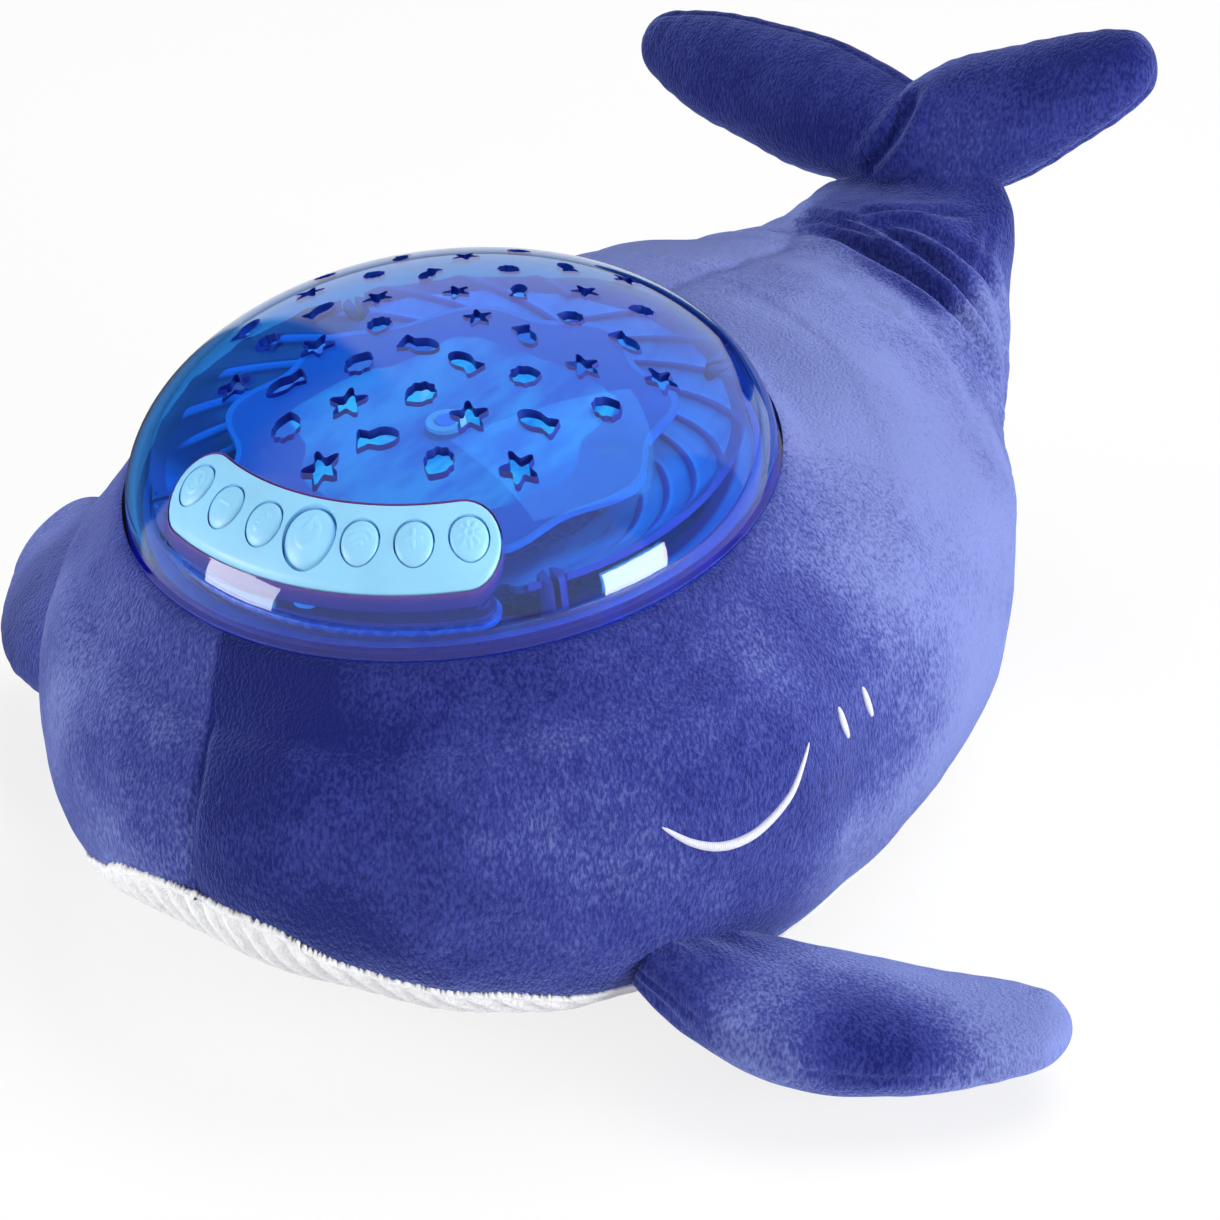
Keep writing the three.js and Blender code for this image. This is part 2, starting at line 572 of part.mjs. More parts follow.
// A stuffed limb: rings of superellipses along a smooth middle line, wide along "across"
function limb(spine, across, halfWidths, halfThicknesses, power, grow = 0) {
  const column = (rows, k) => rows.map((row) => row[k]);
  const middle = (place) => new THREE.Vector3(...[0, 1, 2].map((k) => along(column(spine, k), place)));
  const rings = [];
  for (let row = 0; row <= LIMB_ROWS; row += 1) {
    const place = row / LIMB_ROWS;
    const centre = middle(place);
    const ahead = middle(place + 0.01).sub(middle(place - 0.01)).normalize();
    const wide = new THREE.Vector3(...[0, 1, 2].map((k) => along(column(across, k), place)));
    wide.addScaledVector(ahead, -wide.dot(ahead)).normalize();
    const thick = new THREE.Vector3().crossVectors(ahead, wide);
    const halfWidth = along(halfWidths, place) + grow;
    const halfThickness = along(halfThicknesses, place) + grow;
    const ring = [];
    for (let side = 0; side < LIMB_SIDES; side += 1) {
      const turn = (2 * Math.PI * side) / LIMB_SIDES;
      ring.push(centre.clone()
        .addScaledVector(wide, halfWidth * signedPower(Math.cos(turn), 2 / power))
        .addScaledVector(thick, halfThickness * signedPower(Math.sin(turn), 2 / power)));
    }
    rings.push(ring);
  }
  return loft(rings, middle(0), middle(1));
}

// Fluke's span direction, rolled to one side, and the direction in which its lobes rise
const flukeAcross = [Math.cos(radians(FLUKE_ROLL)), 0, Math.sin(radians(FLUKE_ROLL))];
const flukeUp = new THREE.Vector3(-Math.sin(radians(FLUKE_ROLL)), FLUKE_LEAN_BACK, Math.cos(radians(FLUKE_ROLL)))
  .normalize();

function tail(grow) {
  const across = TAIL_SPINE.map((point, i) => (2 * i < TAIL_SPINE.length ? [1, 0, 0] : flukeAcross));
  return limb(TAIL_SPINE, across, TAIL_HALF_WIDTHS, TAIL_HALF_THICKNESSES, TAIL_POWER, grow);
}

// One lobe of the fluke, on side +1 (left) or -1 (right), cut off at the fluke's middle plane
function flukeLobe(side, span, rises, halfWidths) {
  const root = new THREE.Vector3(...FLUKE_ROOT);
  const span3 = new THREE.Vector3(...flukeAcross);
  const spine = FLUKE_PLACES.map((place) => {
    const rise = rises[0] + (rises[1] - rises[0]) * Math.max(place, 0);
    const point = root.clone().addScaledVector(span3, side * span * place).addScaledVector(flukeUp, rise);
    point.y += FLUKE_BACK * place;
    return point.toArray();
  });
  const across = spine.map(() => flukeUp.toArray());
  const lobe = limb(spine, across, halfWidths, FLUKE_HALF_THICKNESSES, LIMB_POWER);
  const size = 4 * span;
  const half = new THREE.BoxGeometry(size, size, size);
  half.translate((side * (size + SOFT_GAP)) / 2, 0, 0);
  half.rotateY(-radians(FLUKE_ROLL));
  half.translate(...FLUKE_ROOT);
  return lobe.intersect(solidOf(half)).subtract(tail(SOFT_GAP));
}

function fin(spine, across, halfWidths) {
  const directions = spine.map(() => across);
  const paddle = limb(spine, directions, halfWidths, FIN_HALF_THICKNESSES, LIMB_POWER);
  return paddle.subtract(trunk(SOFT_GAP, BODY_ROWS, BODY_SIDES));
}

// Height of the dome's surface at a radius, and its profile from the rim to the top, both moved
// outwards by a distance
function domeHeightAt(radius, out) {
  const share = Math.min(radius / (DOME_RADIUS + out), 1);
  return (DOME_HEIGHT + out) * (1 - share ** DOME_POWER) ** (1 / DOME_POWER);
}

function domeProfile(out) {
  const profile = [];
  for (let row = 1; row <= DOME_ROWS; row += 1) {
    const turn = (Math.PI / 2) * (row / DOME_ROWS);
    const radius = row < DOME_ROWS ? (DOME_RADIUS + out) * Math.cos(turn) ** (2 / DOME_POWER) : 0;
    profile.push([radius, (DOME_HEIGHT + out) * Math.sin(turn) ** (2 / DOME_POWER)]);
  }
  return profile;
}

// Lowest height of the faceted cap at a radius: on the chord between two rows, at a facet's middle
function facetHeightAt(radius, out) {
  const profile = [[DOME_RADIUS + out, 0], ...domeProfile(out)];
  const reach = radius / Math.cos(Math.PI / DOME_SIDES);
  const row = profile.findIndex(([edge]) => edge < reach);
  const [[outer, low], [inner, high]] = [profile[row - 1], profile[row]];
  return low + ((high - low) * (outer - reach)) / (outer - inner);
}

function domeCap(out) {
  return revolve([[0, 0], [DOME_RADIUS + out, 0], ...domeProfile(out)], DOME_SIDES);
}

// Curved panel outline: an arc of a given half width with round ends, in front of the dome's middle
function panelOutline(radius, halfWidth, endAngle) {
  const [start, end] = [-Math.PI / 2 - radians(endAngle), -Math.PI / 2 + radians(endAngle)];
  const shape = new THREE.Shape();
  shape.absarc(0, 0, radius + halfWidth, start, end, false);
  shape.absarc(radius * Math.cos(end), radius * Math.sin(end), halfWidth, end, end + Math.PI, false);
  shape.absarc(0, 0, radius - halfWidth, end, start, true);
  shape.absarc(radius * Math.cos(start), radius * Math.sin(start), halfWidth, start + Math.PI,
    start + 2 * Math.PI, false);
  return shape;
}

// Small cut-outs of the dome: generic fish, stars and shells on a sunflower spiral
const cutoutShapes = [
  [[1.15, 0], [0.2, 0.62], [-0.6, 0.15], [-1.1, 0.6], [-1.1, -0.6], [-0.6, -0.15], [0.2, -0.62]],
  Array.from({ length: 10 }, (unused, i) => {
    const radius = i % 2 ? 0.5 : 1;
    return [radius * Math.cos((Math.PI * i) / 5), radius * Math.sin((Math.PI * i) / 5)];
  }),
  [[0.85, 0], [0.45, 0.75], [-0.45, 0.75], [-0.85, 0], [-0.45, -0.75], [0.45, -0.75]],
];

function cutouts() {
  const tools = [];
  const keypadReach = KEY_ARC_RADIUS - PANEL_HALF_WIDTH - PANEL_FLANGE_WIDTH - CUTOUT_RADIUS;
  for (let i = 0; i < CUTOUT_COUNT; i += 1) {
    const radius = CUTOUT_SPACING * Math.sqrt(i + CUTOUT_FIRST);
    const degrees = ((i * GOLDEN_TURN + 180) % 360) - 180;
    const clearOfKeypad = radius < keypadReach || Math.abs(degrees) > PANEL_END_ANGLE + CUTOUT_CLEAR_ANGLE;
    if (clearOfKeypad && radius < CUTOUT_EDGE_RADIUS) {
      const centre = onArc(radius, degrees);
      const turn = radians(degrees * 3);
      const shape = new THREE.Shape(cutoutShapes[i % cutoutShapes.length].map(([x, y]) => new THREE.Vector2(
        centre.x + CUTOUT_RADIUS * (x * Math.cos(turn) - y * Math.sin(turn)),
        centre.y + CUTOUT_RADIUS * (x * Math.sin(turn) + y * Math.cos(turn)),
      )));
      tools.push(prism(shape, RIM_THICKNESS, 2 * DOME_HEIGHT));
    }
  }
  return joined(tools);
}

function dome() {
  const outside = domeProfile(0);
  const inside = domeProfile(-DOME_WALL).reverse();
  const lipRadius = DOME_RADIUS - DOME_WALL;
  const profile = [[RIM_INNER_RADIUS, 0], [RIM_RADIUS, 0], [RIM_RADIUS, RIM_THICKNESS / 2],
    [DOME_RADIUS, RIM_THICKNESS], ...outside, ...inside, [lipRadius, RIM_THICKNESS],
    [RIM_INNER_RADIUS, RIM_THICKNESS], [RIM_INNER_RADIUS, 0]];
  const window = panelOutline(KEY_ARC_RADIUS, PANEL_HALF_WIDTH + WINDOW_GAP, PANEL_END_ANGLE);
  return cut(revolve(profile, DOME_SIDES), [prism(window, RIM_THICKNESS, 2 * DOME_HEIGHT, 5), cutouts()]);
}

// Keypad panel: flush with the dome in its window, with a flange under the dome's wall
const PANEL_UNDERSIDE = -(DOME_WALL + GAP + PANEL_FLANGE);
const keyNumbers = Array.from({ length: KEY_COUNT }, (unused, i) => i - (KEY_COUNT - 1) / 2);
const keyRadius = (number) => (number === 0 ? POWER_KEY_RADIUS : KEY_RADIUS);
const keyPlace = (number) => onArc(KEY_ARC_RADIUS, KEY_PITCH_ANGLE * number);

function keypadPanel() {
  const under = domeCap(PANEL_UNDERSIDE);
  const face = prism(panelOutline(KEY_ARC_RADIUS, PANEL_HALF_WIDTH, PANEL_END_ANGLE), RIM_THICKNESS, DOME_HEIGHT, 5);
  const inward = PANEL_FLANGE_WIDTH / 2;
  const flangeOutline = panelOutline(KEY_ARC_RADIUS - inward / 2, PANEL_HALF_WIDTH + inward, PANEL_END_ANGLE);
  const flange = prism(flangeOutline, RIM_THICKNESS + 2 * GAP, DOME_HEIGHT, 5);
  const holes = keyNumbers.map((number) => {
    const { x, y } = keyPlace(number);
    return cylinder(keyRadius(number) + KEY_CLEARANCE, 0, DOME_HEIGHT, x, y, KEY_SIDES);
  });
  const top = face.intersect(domeCap(PANEL_PROUD));
  const rim = flange.intersect(domeCap(-DOME_WALL - GAP));
  return cut(top.add(rim), [under, ...holes]);
}

// Heights of the keypad's stack above the rim plane, from its board up to the buttons' undersides
const KEY_MAT_LOW = KEY_BOARD_HEIGHT + BOARD_THICKNESS + GAP;
const KEY_MAT_HIGH = KEY_MAT_LOW + KEY_MAT_THICKNESS;
const KEY_BOTTOM = KEY_MAT_HIGH + KEY_MAT_DOME_HEIGHT + KEY_TRAVEL + GAP;

// Push button: a round column under a crown that leans with the dome, with a lip below the panel
function key(number) {
  const radius = keyRadius(number);
  const { x, y } = keyPlace(number);
  const rise = domeHeightAt(KEY_ARC_RADIUS - 1, 0) - domeHeightAt(KEY_ARC_RADIUS + 1, 0);
  const normal = onArc(rise, KEY_PITCH_ANGLE * number, 2).normalize();
  const centre = new THREE.Vector3(x, y, domeHeightAt(KEY_ARC_RADIUS, 0))
    .addScaledVector(normal, KEY_PROUD - KEY_CROWN_RADIUS);
  const crown = new THREE.SphereGeometry(KEY_CROWN_RADIUS, 16, 13);
  crown.translate(centre.x, centre.y, centre.z);
  const column = cylinder(radius, KEY_BOTTOM, DOME_HEIGHT, x, y, KEY_SIDES).intersect(solidOf(crown));
  const lipTop = facetHeightAt(KEY_ARC_RADIUS + radius + KEY_LIP, PANEL_UNDERSIDE) - GAP;
  const lipLow = Math.max(lipTop - KEY_LIP_THICKNESS, KEY_BOTTOM);
  return column.add(cylinder(radius + KEY_LIP, lipLow, lipTop, x, y, KEY_SIDES));
}

function keyBoard() {
  const end = KEY_PITCH_ANGLE * Math.max(...keyNumbers);
  const outline = panelOutline(KEY_ARC_RADIUS, KEY_BOARD_HALF_WIDTH, end - 1);
  return prism(outline, KEY_BOARD_HEIGHT, KEY_BOARD_HEIGHT + BOARD_THICKNESS, 4);
}

function keyMat() {
  const end = KEY_PITCH_ANGLE * Math.max(...keyNumbers);
  const outline = panelOutline(KEY_ARC_RADIUS, KEY_BOARD_HALF_WIDTH - 1, end - 1);
  const domes = keyNumbers.map((number) => {
    const { x, y } = keyPlace(number);
    return cylinder(KEY_MAT_DOME_RADIUS, KEY_MAT_LOW, KEY_MAT_HIGH + KEY_MAT_DOME_HEIGHT, x, y, 6);
  });
  return joined([prism(outline, KEY_MAT_LOW, KEY_MAT_HIGH, 4), ...domes]);
}

const postAngles = [POST_ANGLE, 180 - POST_ANGLE, 180 + POST_ANGLE, 360 - POST_ANGLE];

function clampRing() {
  const [low, high] = [-GAP - CLAMP_THICKNESS, -GAP];
  const ring = revolve([[CLAMP_INNER_RADIUS, low], [CLAMP_RADIUS, low], [CLAMP_RADIUS, high],
    [CLAMP_INNER_RADIUS, high], [CLAMP_INNER_RADIUS, low]], RING_SIDES);
  const posts = postAngles.map((degrees) => {
    const { x, y } = onArc(POST_ARC_RADIUS, degrees);
    const slot = new THREE.BoxGeometry(POST_SLOT, 3 * POST_RADIUS, POST_HEIGHT);
    slot.rotateZ(radians(degrees));
    slot.translate(x, y, POST_HEIGHT / 2 + 2 * POST_SLOT);
    return cylinder(POST_RADIUS, low, POST_HEIGHT, x, y, 10).subtract(solidOf(slot));
  });
  const pegs = [-PEG_ANGLE, 0, PEG_ANGLE].map((degrees) => {
    const { x, y } = onArc(CLAMP_INNER_RADIUS + PEG_RADIUS, degrees);
    return cylinder(PEG_RADIUS, low, KEY_BOARD_HEIGHT - GAP, x, y, 8);
  });
  return joined([ring, ...posts, ...pegs]);
}

// Reflector tray: height rises with the square of the way out, ribs ripple with the angle, and the
// outer edge is scalloped between the ribs
function reflectorTray() {
  const sides = 2 * TRAY_RIBS;
  const sections = [];
  for (let side = 0; side < sides; side += 1) {
    const degrees = (360 * side) / sides;
    const wave = side % 2 ? -1 : 1;
    const edge = TRAY_OUTER_RADIUS - TRAY_SCALLOP * (0.5 - 0.5 * wave);
    const top = [];
    const under = [];
    for (let row = 0; row <= TRAY_ROWS; row += 1) {
      const share = row / TRAY_ROWS;
      const radius = TRAY_INNER_RADIUS + (edge - TRAY_INNER_RADIUS) * share;
      const height = TRAY_INNER_HEIGHT + TRAY_RISE * share ** 2 + TRAY_RIB_HEIGHT * wave * share;
      top.push(onArc(radius, degrees, height + TRAY_WALL));
      under.unshift(onArc(radius, degrees, height));
    }
    sections.push([...top, ...under]);
  }
  const footShare = (TRAY_FOOT_RADIUS - TRAY_INNER_RADIUS) / (TRAY_OUTER_RADIUS - TRAY_INNER_RADIUS);
  const footTop = TRAY_INNER_HEIGHT + TRAY_RISE * footShare ** 2 + TRAY_WALL / 2;
  const [footIn, footOut] = [TRAY_FOOT_RADIUS - TRAY_WALL / 2, TRAY_FOOT_RADIUS + TRAY_WALL / 2];
  const foot = revolve([[footIn, 0], [footOut, 0], [footOut, footTop], [footIn, footTop], [footIn, 0]], sides);
  const holes = postAngles.map((degrees) => {
    const { x, y } = onArc(POST_ARC_RADIUS, degrees);
    return cylinder(POST_RADIUS + SOFT_GAP, -CLAMP_THICKNESS, DOME_HEIGHT, x, y, 10);
  });
  const inner = KEY_ARC_RADIUS - PANEL_HALF_WIDTH - PANEL_FLANGE_WIDTH;
  const sector = new THREE.Shape();
  sector.absarc(0, 0, inner, -Math.PI / 2 - radians(TRAY_KEYPAD_ANGLE), -Math.PI / 2 + radians(TRAY_KEYPAD_ANGLE));
  sector.absarc(0, 0, RIM_RADIUS, -Math.PI / 2 + radians(TRAY_KEYPAD_ANGLE),
    -Math.PI / 2 - radians(TRAY_KEYPAD_ANGLE), true);
  const keypadSpace = prism(sector, -CLAMP_THICKNESS, DOME_HEIGHT, 6);
  return cut(wheel(sections).add(foot), [...holes, keypadSpace]);
}

// Battery box, measured down from the door's outer face
const DOOR_INNER = POD_BASE + DOOR_THICKNESS;
const BOX_LOW = DOOR_INNER + GAP;
const BOX_HIGH = BOX_LOW + BOX_DEPTH;
const BOX_TOP = BOX_HIGH + BOX_WALL;
const DECK_LOW = DECK_TOP - DECK_THICKNESS;
const COLUMN_TOP = DECK_LOW - GAP;
const columnAngles = Array.from({ length: COLUMN_COUNT }, (unused, i) => (360 * (i + 0.5)) / COLUMN_COUNT);
const tabPlaces = [-DOOR_TAB_PLACE, DOOR_TAB_PLACE];
const standoffPlaces = [[1, 1], [1, -1], [-1, 1], [-1, -1]]
  .map(([x, y]) => [x * (BOX_LENGTH / 2 - STANDOFF_RADIUS), y * (BOX_WIDTH / 2 - STANDOFF_RADIUS)]);

function lowerHousing() {
  const inner = podOutline(-POD_WALL, POD_BASE + POD_WALL).reverse();
  const shell = revolve([[0, POD_BASE], ...podOutline(0), ...inner, [0, POD_BASE + POD_WALL]], RING_SIDES);
  const floor = POD_BASE + POD_WALL / 2;
  const box = block(BOX_LENGTH + 2 * BOX_WALL, BOX_WIDTH + 2 * BOX_WALL, floor, BOX_TOP);
  const seatTop = BOX_LOW + DOOR_LEDGE;
  const seat = block(DOOR_LENGTH + 2 * DOOR_LEDGE, 2 * DOOR_SEAT_HALF_WIDTH, floor, seatTop);
  const screwTop = DOOR_INNER + DOOR_SCREW_LENGTH;
  const boss = cylinder(2 * SCREW_HEAD_RADIUS - SCREW_RADIUS, floor, screwTop + DOOR_LEDGE, 0, DOOR_SCREW_Y, 16);
  const columns = columnAngles.map((degrees) => {
    const { x, y } = onArc(COLUMN_ARC_RADIUS, degrees);
    const pilot = cylinder(PILOT_RADIUS, COLUMN_TOP - PILOT_DEPTH, 0, x, y, 8);
    return cylinder(COLUMN_RADIUS, floor, COLUMN_TOP, x, y, 10).subtract(pilot);
  });
  const standoffs = standoffPlaces
    .map(([x, y]) => cylinder(STANDOFF_RADIUS, BOX_HIGH, BOX_TOP + STANDOFF_HEIGHT, x, y, 8));
  const speakerWall = cylinder(SPEAKER_RADIUS + GAP + BOX_WALL, floor, POD_BASE + POD_WALL + SPEAKER_HEIGHT / 2,
    0, SPEAKER_Y, 16).subtract(cylinder(SPEAKER_RADIUS + GAP, POD_BASE + POD_WALL, 0, 0, SPEAKER_Y, 16));
  const below = 2 * POD_BASE;
  const cavity = block(BOX_LENGTH, BOX_WIDTH, below, BOX_HIGH);
  const doorOutline = roundedRectangle(DOOR_LENGTH / 2 + GAP, DOOR_WIDTH / 2 + GAP, DOOR_CORNER + GAP);
  const doorSpace = prism(doorOutline, below, BOX_LOW, 3);
  const tabSpaces = tabPlaces.map((x) => block(DOOR_TAB_LENGTH + 2 * GAP, 2 * DOOR_TAB_REACH + 2 * GAP,
    DOOR_INNER - DOOR_TAB_THICKNESS - GAP, BOX_LOW, x, DOOR_WIDTH / 2));
  const screwHole = cylinder(SCREW_RADIUS + GAP, below, screwTop + GAP, 0, DOOR_SCREW_Y, 12);
  const slots = Array.from({ length: SPEAKER_SLOTS }, (unused, i) => {
    const place = SPEAKER_SLOT_PITCH * (i - (SPEAKER_SLOTS - 1) / 2);
    const half = Math.sqrt((SPEAKER_RADIUS - SPEAKER_SLOT_PITCH) ** 2 - place ** 2);
    return block(2 * half, SPEAKER_SLOT_WIDTH, below, POD_BASE + 2 * POD_WALL, 0, SPEAKER_Y + place);
  });
  const whole = joined([shell, box, seat, boss, ...columns, ...standoffs, speakerWall]);
  return cut(whole, [cavity, doorSpace, ...tabSpaces, screwHole, ...slots]);
}

function batteryDoor() {
  const plate = prism(roundedRectangle(DOOR_LENGTH / 2, DOOR_WIDTH / 2, DOOR_CORNER), POD_BASE, DOOR_INNER, 3);
  const tabs = tabPlaces.map((x) => block(DOOR_TAB_LENGTH, 2 * DOOR_TAB_REACH,
    DOOR_INNER - DOOR_TAB_THICKNESS, DOOR_INNER, x, DOOR_WIDTH / 2));
  const through = cylinder(SCREW_RADIUS + GAP, 2 * POD_BASE, 0, 0, DOOR_SCREW_Y, 12);
  const sink = cylinder(SCREW_HEAD_RADIUS + GAP, 2 * POD_BASE, POD_BASE + SCREW_HEAD_HEIGHT, 0, DOOR_SCREW_Y, 16);
  return cut(joined([plate, ...tabs]), [through, sink]);
}

// Pan-head screw that points up or down from the underside of its head
function screw(x, y, seat, length, up) {
  const [tip, top] = [seat + (up ? length : -length), seat + (up ? -SCREW_HEAD_HEIGHT : SCREW_HEAD_HEIGHT)];
  const shank = cylinder(SCREW_RADIUS, Math.min(tip, top), Math.max(tip, top), x, y, 8);
  return shank.add(cylinder(SCREW_HEAD_RADIUS, Math.min(seat, top), Math.max(seat, top), x, y, 10));
}

// Cells lie side by side along X, every second one reversed
const cellNumbers = Array.from({ length: CELL_COUNT }, (unused, i) => i);
const cellHeight = DOOR_INNER + GAP + CELL_RADIUS;
const cellPlace = (number) => CELL_PITCH * (number - (CELL_COUNT - 1) / 2);
const cellSense = (number) => (number % 2 ? -1 : 1);
const CONTACT_FACE = BOX_LENGTH / 2 - GAP - CONTACT_THICKNESS;
const CELL_TIP = CONTACT_FACE - GAP;

function cell(number) {
  const shoulder = CELL_TIP - CELL_NUB_LENGTH;
  const base = shoulder - CELL_LENGTH;
  const profile = [[0, base], [CELL_RADIUS, base], [CELL_RADIUS, shoulder], [CELL_NUB_RADIUS, shoulder],
    [CELL_NUB_RADIUS, CELL_TIP], [0, CELL_TIP]].map(([radius, z]) => new THREE.Vector2(radius, z));
  const turned = new THREE.LatheGeometry(profile, 14);
  turned.rotateZ((-cellSense(number) * Math.PI) / 2);
  turned.translate(0, cellPlace(number), cellHeight);
  return solidOf(turned);
}

// Cone-shaped helix along X between the contact plate and the cell's flat end
class ConeSpring extends THREE.Curve {
  constructor(start, end) {
    super();
    this.start = start;
    this.end = end;
  }

  getPoint(share, target = new THREE.Vector3()) {
    const turn = 2 * Math.PI * SPRING_TURNS * share;
    const radius = SPRING_LARGE_RADIUS + (SPRING_SMALL_RADIUS - SPRING_LARGE_RADIUS) * share;
    return target.set(this.start + (this.end - this.start) * share, radius * Math.cos(turn), radius * Math.sin(turn));
  }
}

function contactSpring(number) {
  const sense = cellSense(number);
  const flatEnd = CELL_TIP - CELL_NUB_LENGTH - CELL_LENGTH;
  const room = GAP + SPRING_WIRE;
  const path = new ConeSpring(-sense * (CONTACT_FACE - room), sense * (flatEnd - room));
  const wire = new THREE.Shape();
  wire.absarc(0, 0, SPRING_WIRE, 0, 2 * Math.PI);
  const steps = SPRING_TURNS * SPRING_STEPS;
  const coil = new THREE.ExtrudeGeometry(wire, { steps, extrudePath: path, curveSegments: 2 });
  coil.translate(0, cellPlace(number), cellHeight);
  return solidOf(coil);
}

function contactPlate(side) {
  const length = 2 * Math.abs(cellPlace(0)) + CELL_RADIUS;
  const middle = cellHeight;
  const x = side * (CONTACT_FACE + CONTACT_THICKNESS / 2);
  return block(CONTACT_THICKNESS, length, middle - CONTACT_HEIGHT / 2, middle + CONTACT_HEIGHT / 2, x, 0);
}

// Wave drive: a motor under the deck turns a pinion, which turns the gear that carries the lens
const GEAR_RADIUS = (GEAR_MODULE * GEAR_TEETH) / 2;
const PINION_RADIUS = (GEAR_MODULE * PINION_TEETH) / 2;
const MOTOR_Y = GEAR_RADIUS + PINION_RADIUS + GEAR_BACKLASH;
const SHOULDER_TOP = GEAR_BOTTOM - GAP;
const GEAR_HIGH = GEAR_BOTTOM + GEAR_THICKNESS;
const LENS_TOP = LENS_HEIGHT + LENS_THICKNESS;
const CLIP_LOW = LENS_TOP + GAP;
const SPINDLE_TOP = CLIP_LOW + CLIP_THICKNESS + GAP;

function deck() {
  const plate = cylinder(DECK_RADIUS, DECK_LOW, DECK_TOP, 0, 0, RING_SIDES);
  const shoulder = cylinder(SHOULDER_RADIUS, DECK_LOW, SHOULDER_TOP, 0, 0, SPINDLE_SIDES);
  const pin = cylinder(SPINDLE_RADIUS, DECK_LOW, SPINDLE_TOP, 0, 0, SPINDLE_SIDES);
  const holes = columnAngles.map((degrees) => {
    const { x, y } = onArc(COLUMN_ARC_RADIUS, degrees);
    return cylinder(SCREW_RADIUS + GAP, 2 * DECK_LOW, 0, x, y, 8);
  });
  const motorHole = cylinder(MOTOR_BOSS_RADIUS + GAP, 2 * DECK_LOW, 0, 0, MOTOR_Y, 12);
  return cut(joined([plate, shoulder, pin]), [...holes, motorHole]);
}

// Gear outline with straight-sided teeth, one of them centred on the angle "phase"
function gearOutline(teeth, phase) {
  const radius = (GEAR_MODULE * teeth) / 2;
  const quarter = Math.PI / 2 / teeth;
  const points = [];
  for (let tooth = 0; tooth < teeth; tooth += 1) {
    const middle = phase + (2 * Math.PI * tooth) / teeth;
    [[-1.35, -1.15], [-0.45, 0.85], [0.45, 0.85], [1.35, -1.15]].forEach(([turn, rise]) => {
      const reach = radius + rise * GEAR_MODULE;
      points.push(new THREE.Vector2(reach * Math.cos(middle + turn * quarter), reach * Math.sin(middle + turn * quarter)));
    });
  }
  return new THREE.Shape(points);
}

function lensGear() {
  const teeth = prism(gearOutline(GEAR_TEETH, Math.PI / 2), GEAR_BOTTOM, GEAR_HIGH);
  const hub = cylinder(GEAR_HUB_RADIUS, GEAR_BOTTOM, LENS_HEIGHT - GAP, 0, 0, SPINDLE_SIDES);
  const bore = cylinder(SPINDLE_RADIUS + SPINDLE_GAP, 2 * GEAR_BOTTOM, 2 * LENS_HEIGHT, 0, 0, SPINDLE_SIDES);
  return teeth.add(hub).subtract(bore);
}

function motorPinion() {
  const phase = -Math.PI / 2 + Math.PI / PINION_TEETH;
  const outline = gearOutline(PINION_TEETH, phase);
  const bore = cylinder(MOTOR_SHAFT_RADIUS + SPINDLE_GAP, 2 * GEAR_BOTTOM, 0, 0, 0, 12);
  const geometry = geometryOf(prism(outline, GEAR_BOTTOM, GEAR_HIGH).subtract(bore));
  geometry.translate(0, MOTOR_Y, 0);
  return solidOf(geometry);
}

function motor() {
  const top = DECK_LOW - GAP;
  const can = cylinder(MOTOR_RADIUS, top - MOTOR_LENGTH, top, 0, MOTOR_Y, 20);
  const boss = cylinder(MOTOR_BOSS_RADIUS, top - 1, DECK_TOP, 0, MOTOR_Y, 12);
  const shaft = cylinder(MOTOR_SHAFT_RADIUS, top - 1, GEAR_HIGH, 0, MOTOR_Y, 10);
  return joined([can, boss, shaft]);
}

// Wave lens: a disc with a wavy edge, flat below and rippled above
function waveLens() {
  const rings = [];
  const flat = GEAR_HUB_RADIUS + 1;
  const ringAt = (share, height) => Array.from({ length: LENS_SIDES }, (unused, side) => {
    const turn = (2 * Math.PI * side) / LENS_SIDES;
    const edge = LENS_RADIUS + LENS_EDGE_WAVE * Math.cos(LENS_EDGE_WAVES * turn) * share ** 2;
    const radius = flat + (edge - flat) * share;
    const ripple = LENS_RIPPLE * share * (0.5 + 0.5 * Math.cos(4 * turn + radius / 4));
    return new THREE.Vector3(radius * Math.cos(turn), radius * Math.sin(turn), height + (height > LENS_HEIGHT ? ripple : 0));
  });
  for (let row = 0; row <= LENS_ROWS; row += 1) {
    rings.push(ringAt(row / LENS_ROWS, LENS_TOP));
  }
  rings.push(ringAt(1, LENS_HEIGHT));
  const bore = cylinder(SPINDLE_RADIUS + SPINDLE_GAP, 0, 2 * LENS_TOP, 0, 0, SPINDLE_SIDES);
  return loft(rings, new THREE.Vector3(0, 0, LENS_TOP), new THREE.Vector3(0, 0, LENS_HEIGHT)).subtract(bore);
}

function spindleClip() {
  const bore = cylinder(SPINDLE_RADIUS + SPINDLE_GAP, 0, 2 * LENS_TOP, 0, 0, SPINDLE_SIDES);
  return cylinder(CLIP_RADIUS, CLIP_LOW, CLIP_LOW + CLIP_THICKNESS, 0, 0, SPINDLE_SIDES).subtract(bore);
}

const LED_BOARD_LOW = DECK_TOP + GAP;
const LED_LOW = LED_BOARD_LOW + BOARD_THICKNESS + GAP;
const ledAngles = Array.from({ length: LED_COUNT }, (unused, i) => (360 * (i + 0.5)) / LED_COUNT);

function ledBoard() {
  const [low, high] = [LED_BOARD_LOW, LED_BOARD_LOW + BOARD_THICKNESS];
  return cut(cylinder(LED_BOARD_RADIUS, low, high, 0, 0, RING_SIDES), [
    cylinder(LED_BOARD_HOLE, 2 * low, 0, 0, 0, SPINDLE_SIDES),
    cylinder(MOTOR_BOSS_RADIUS + GAP, 2 * low, 0, 0, MOTOR_Y, 10),
  ]);
}

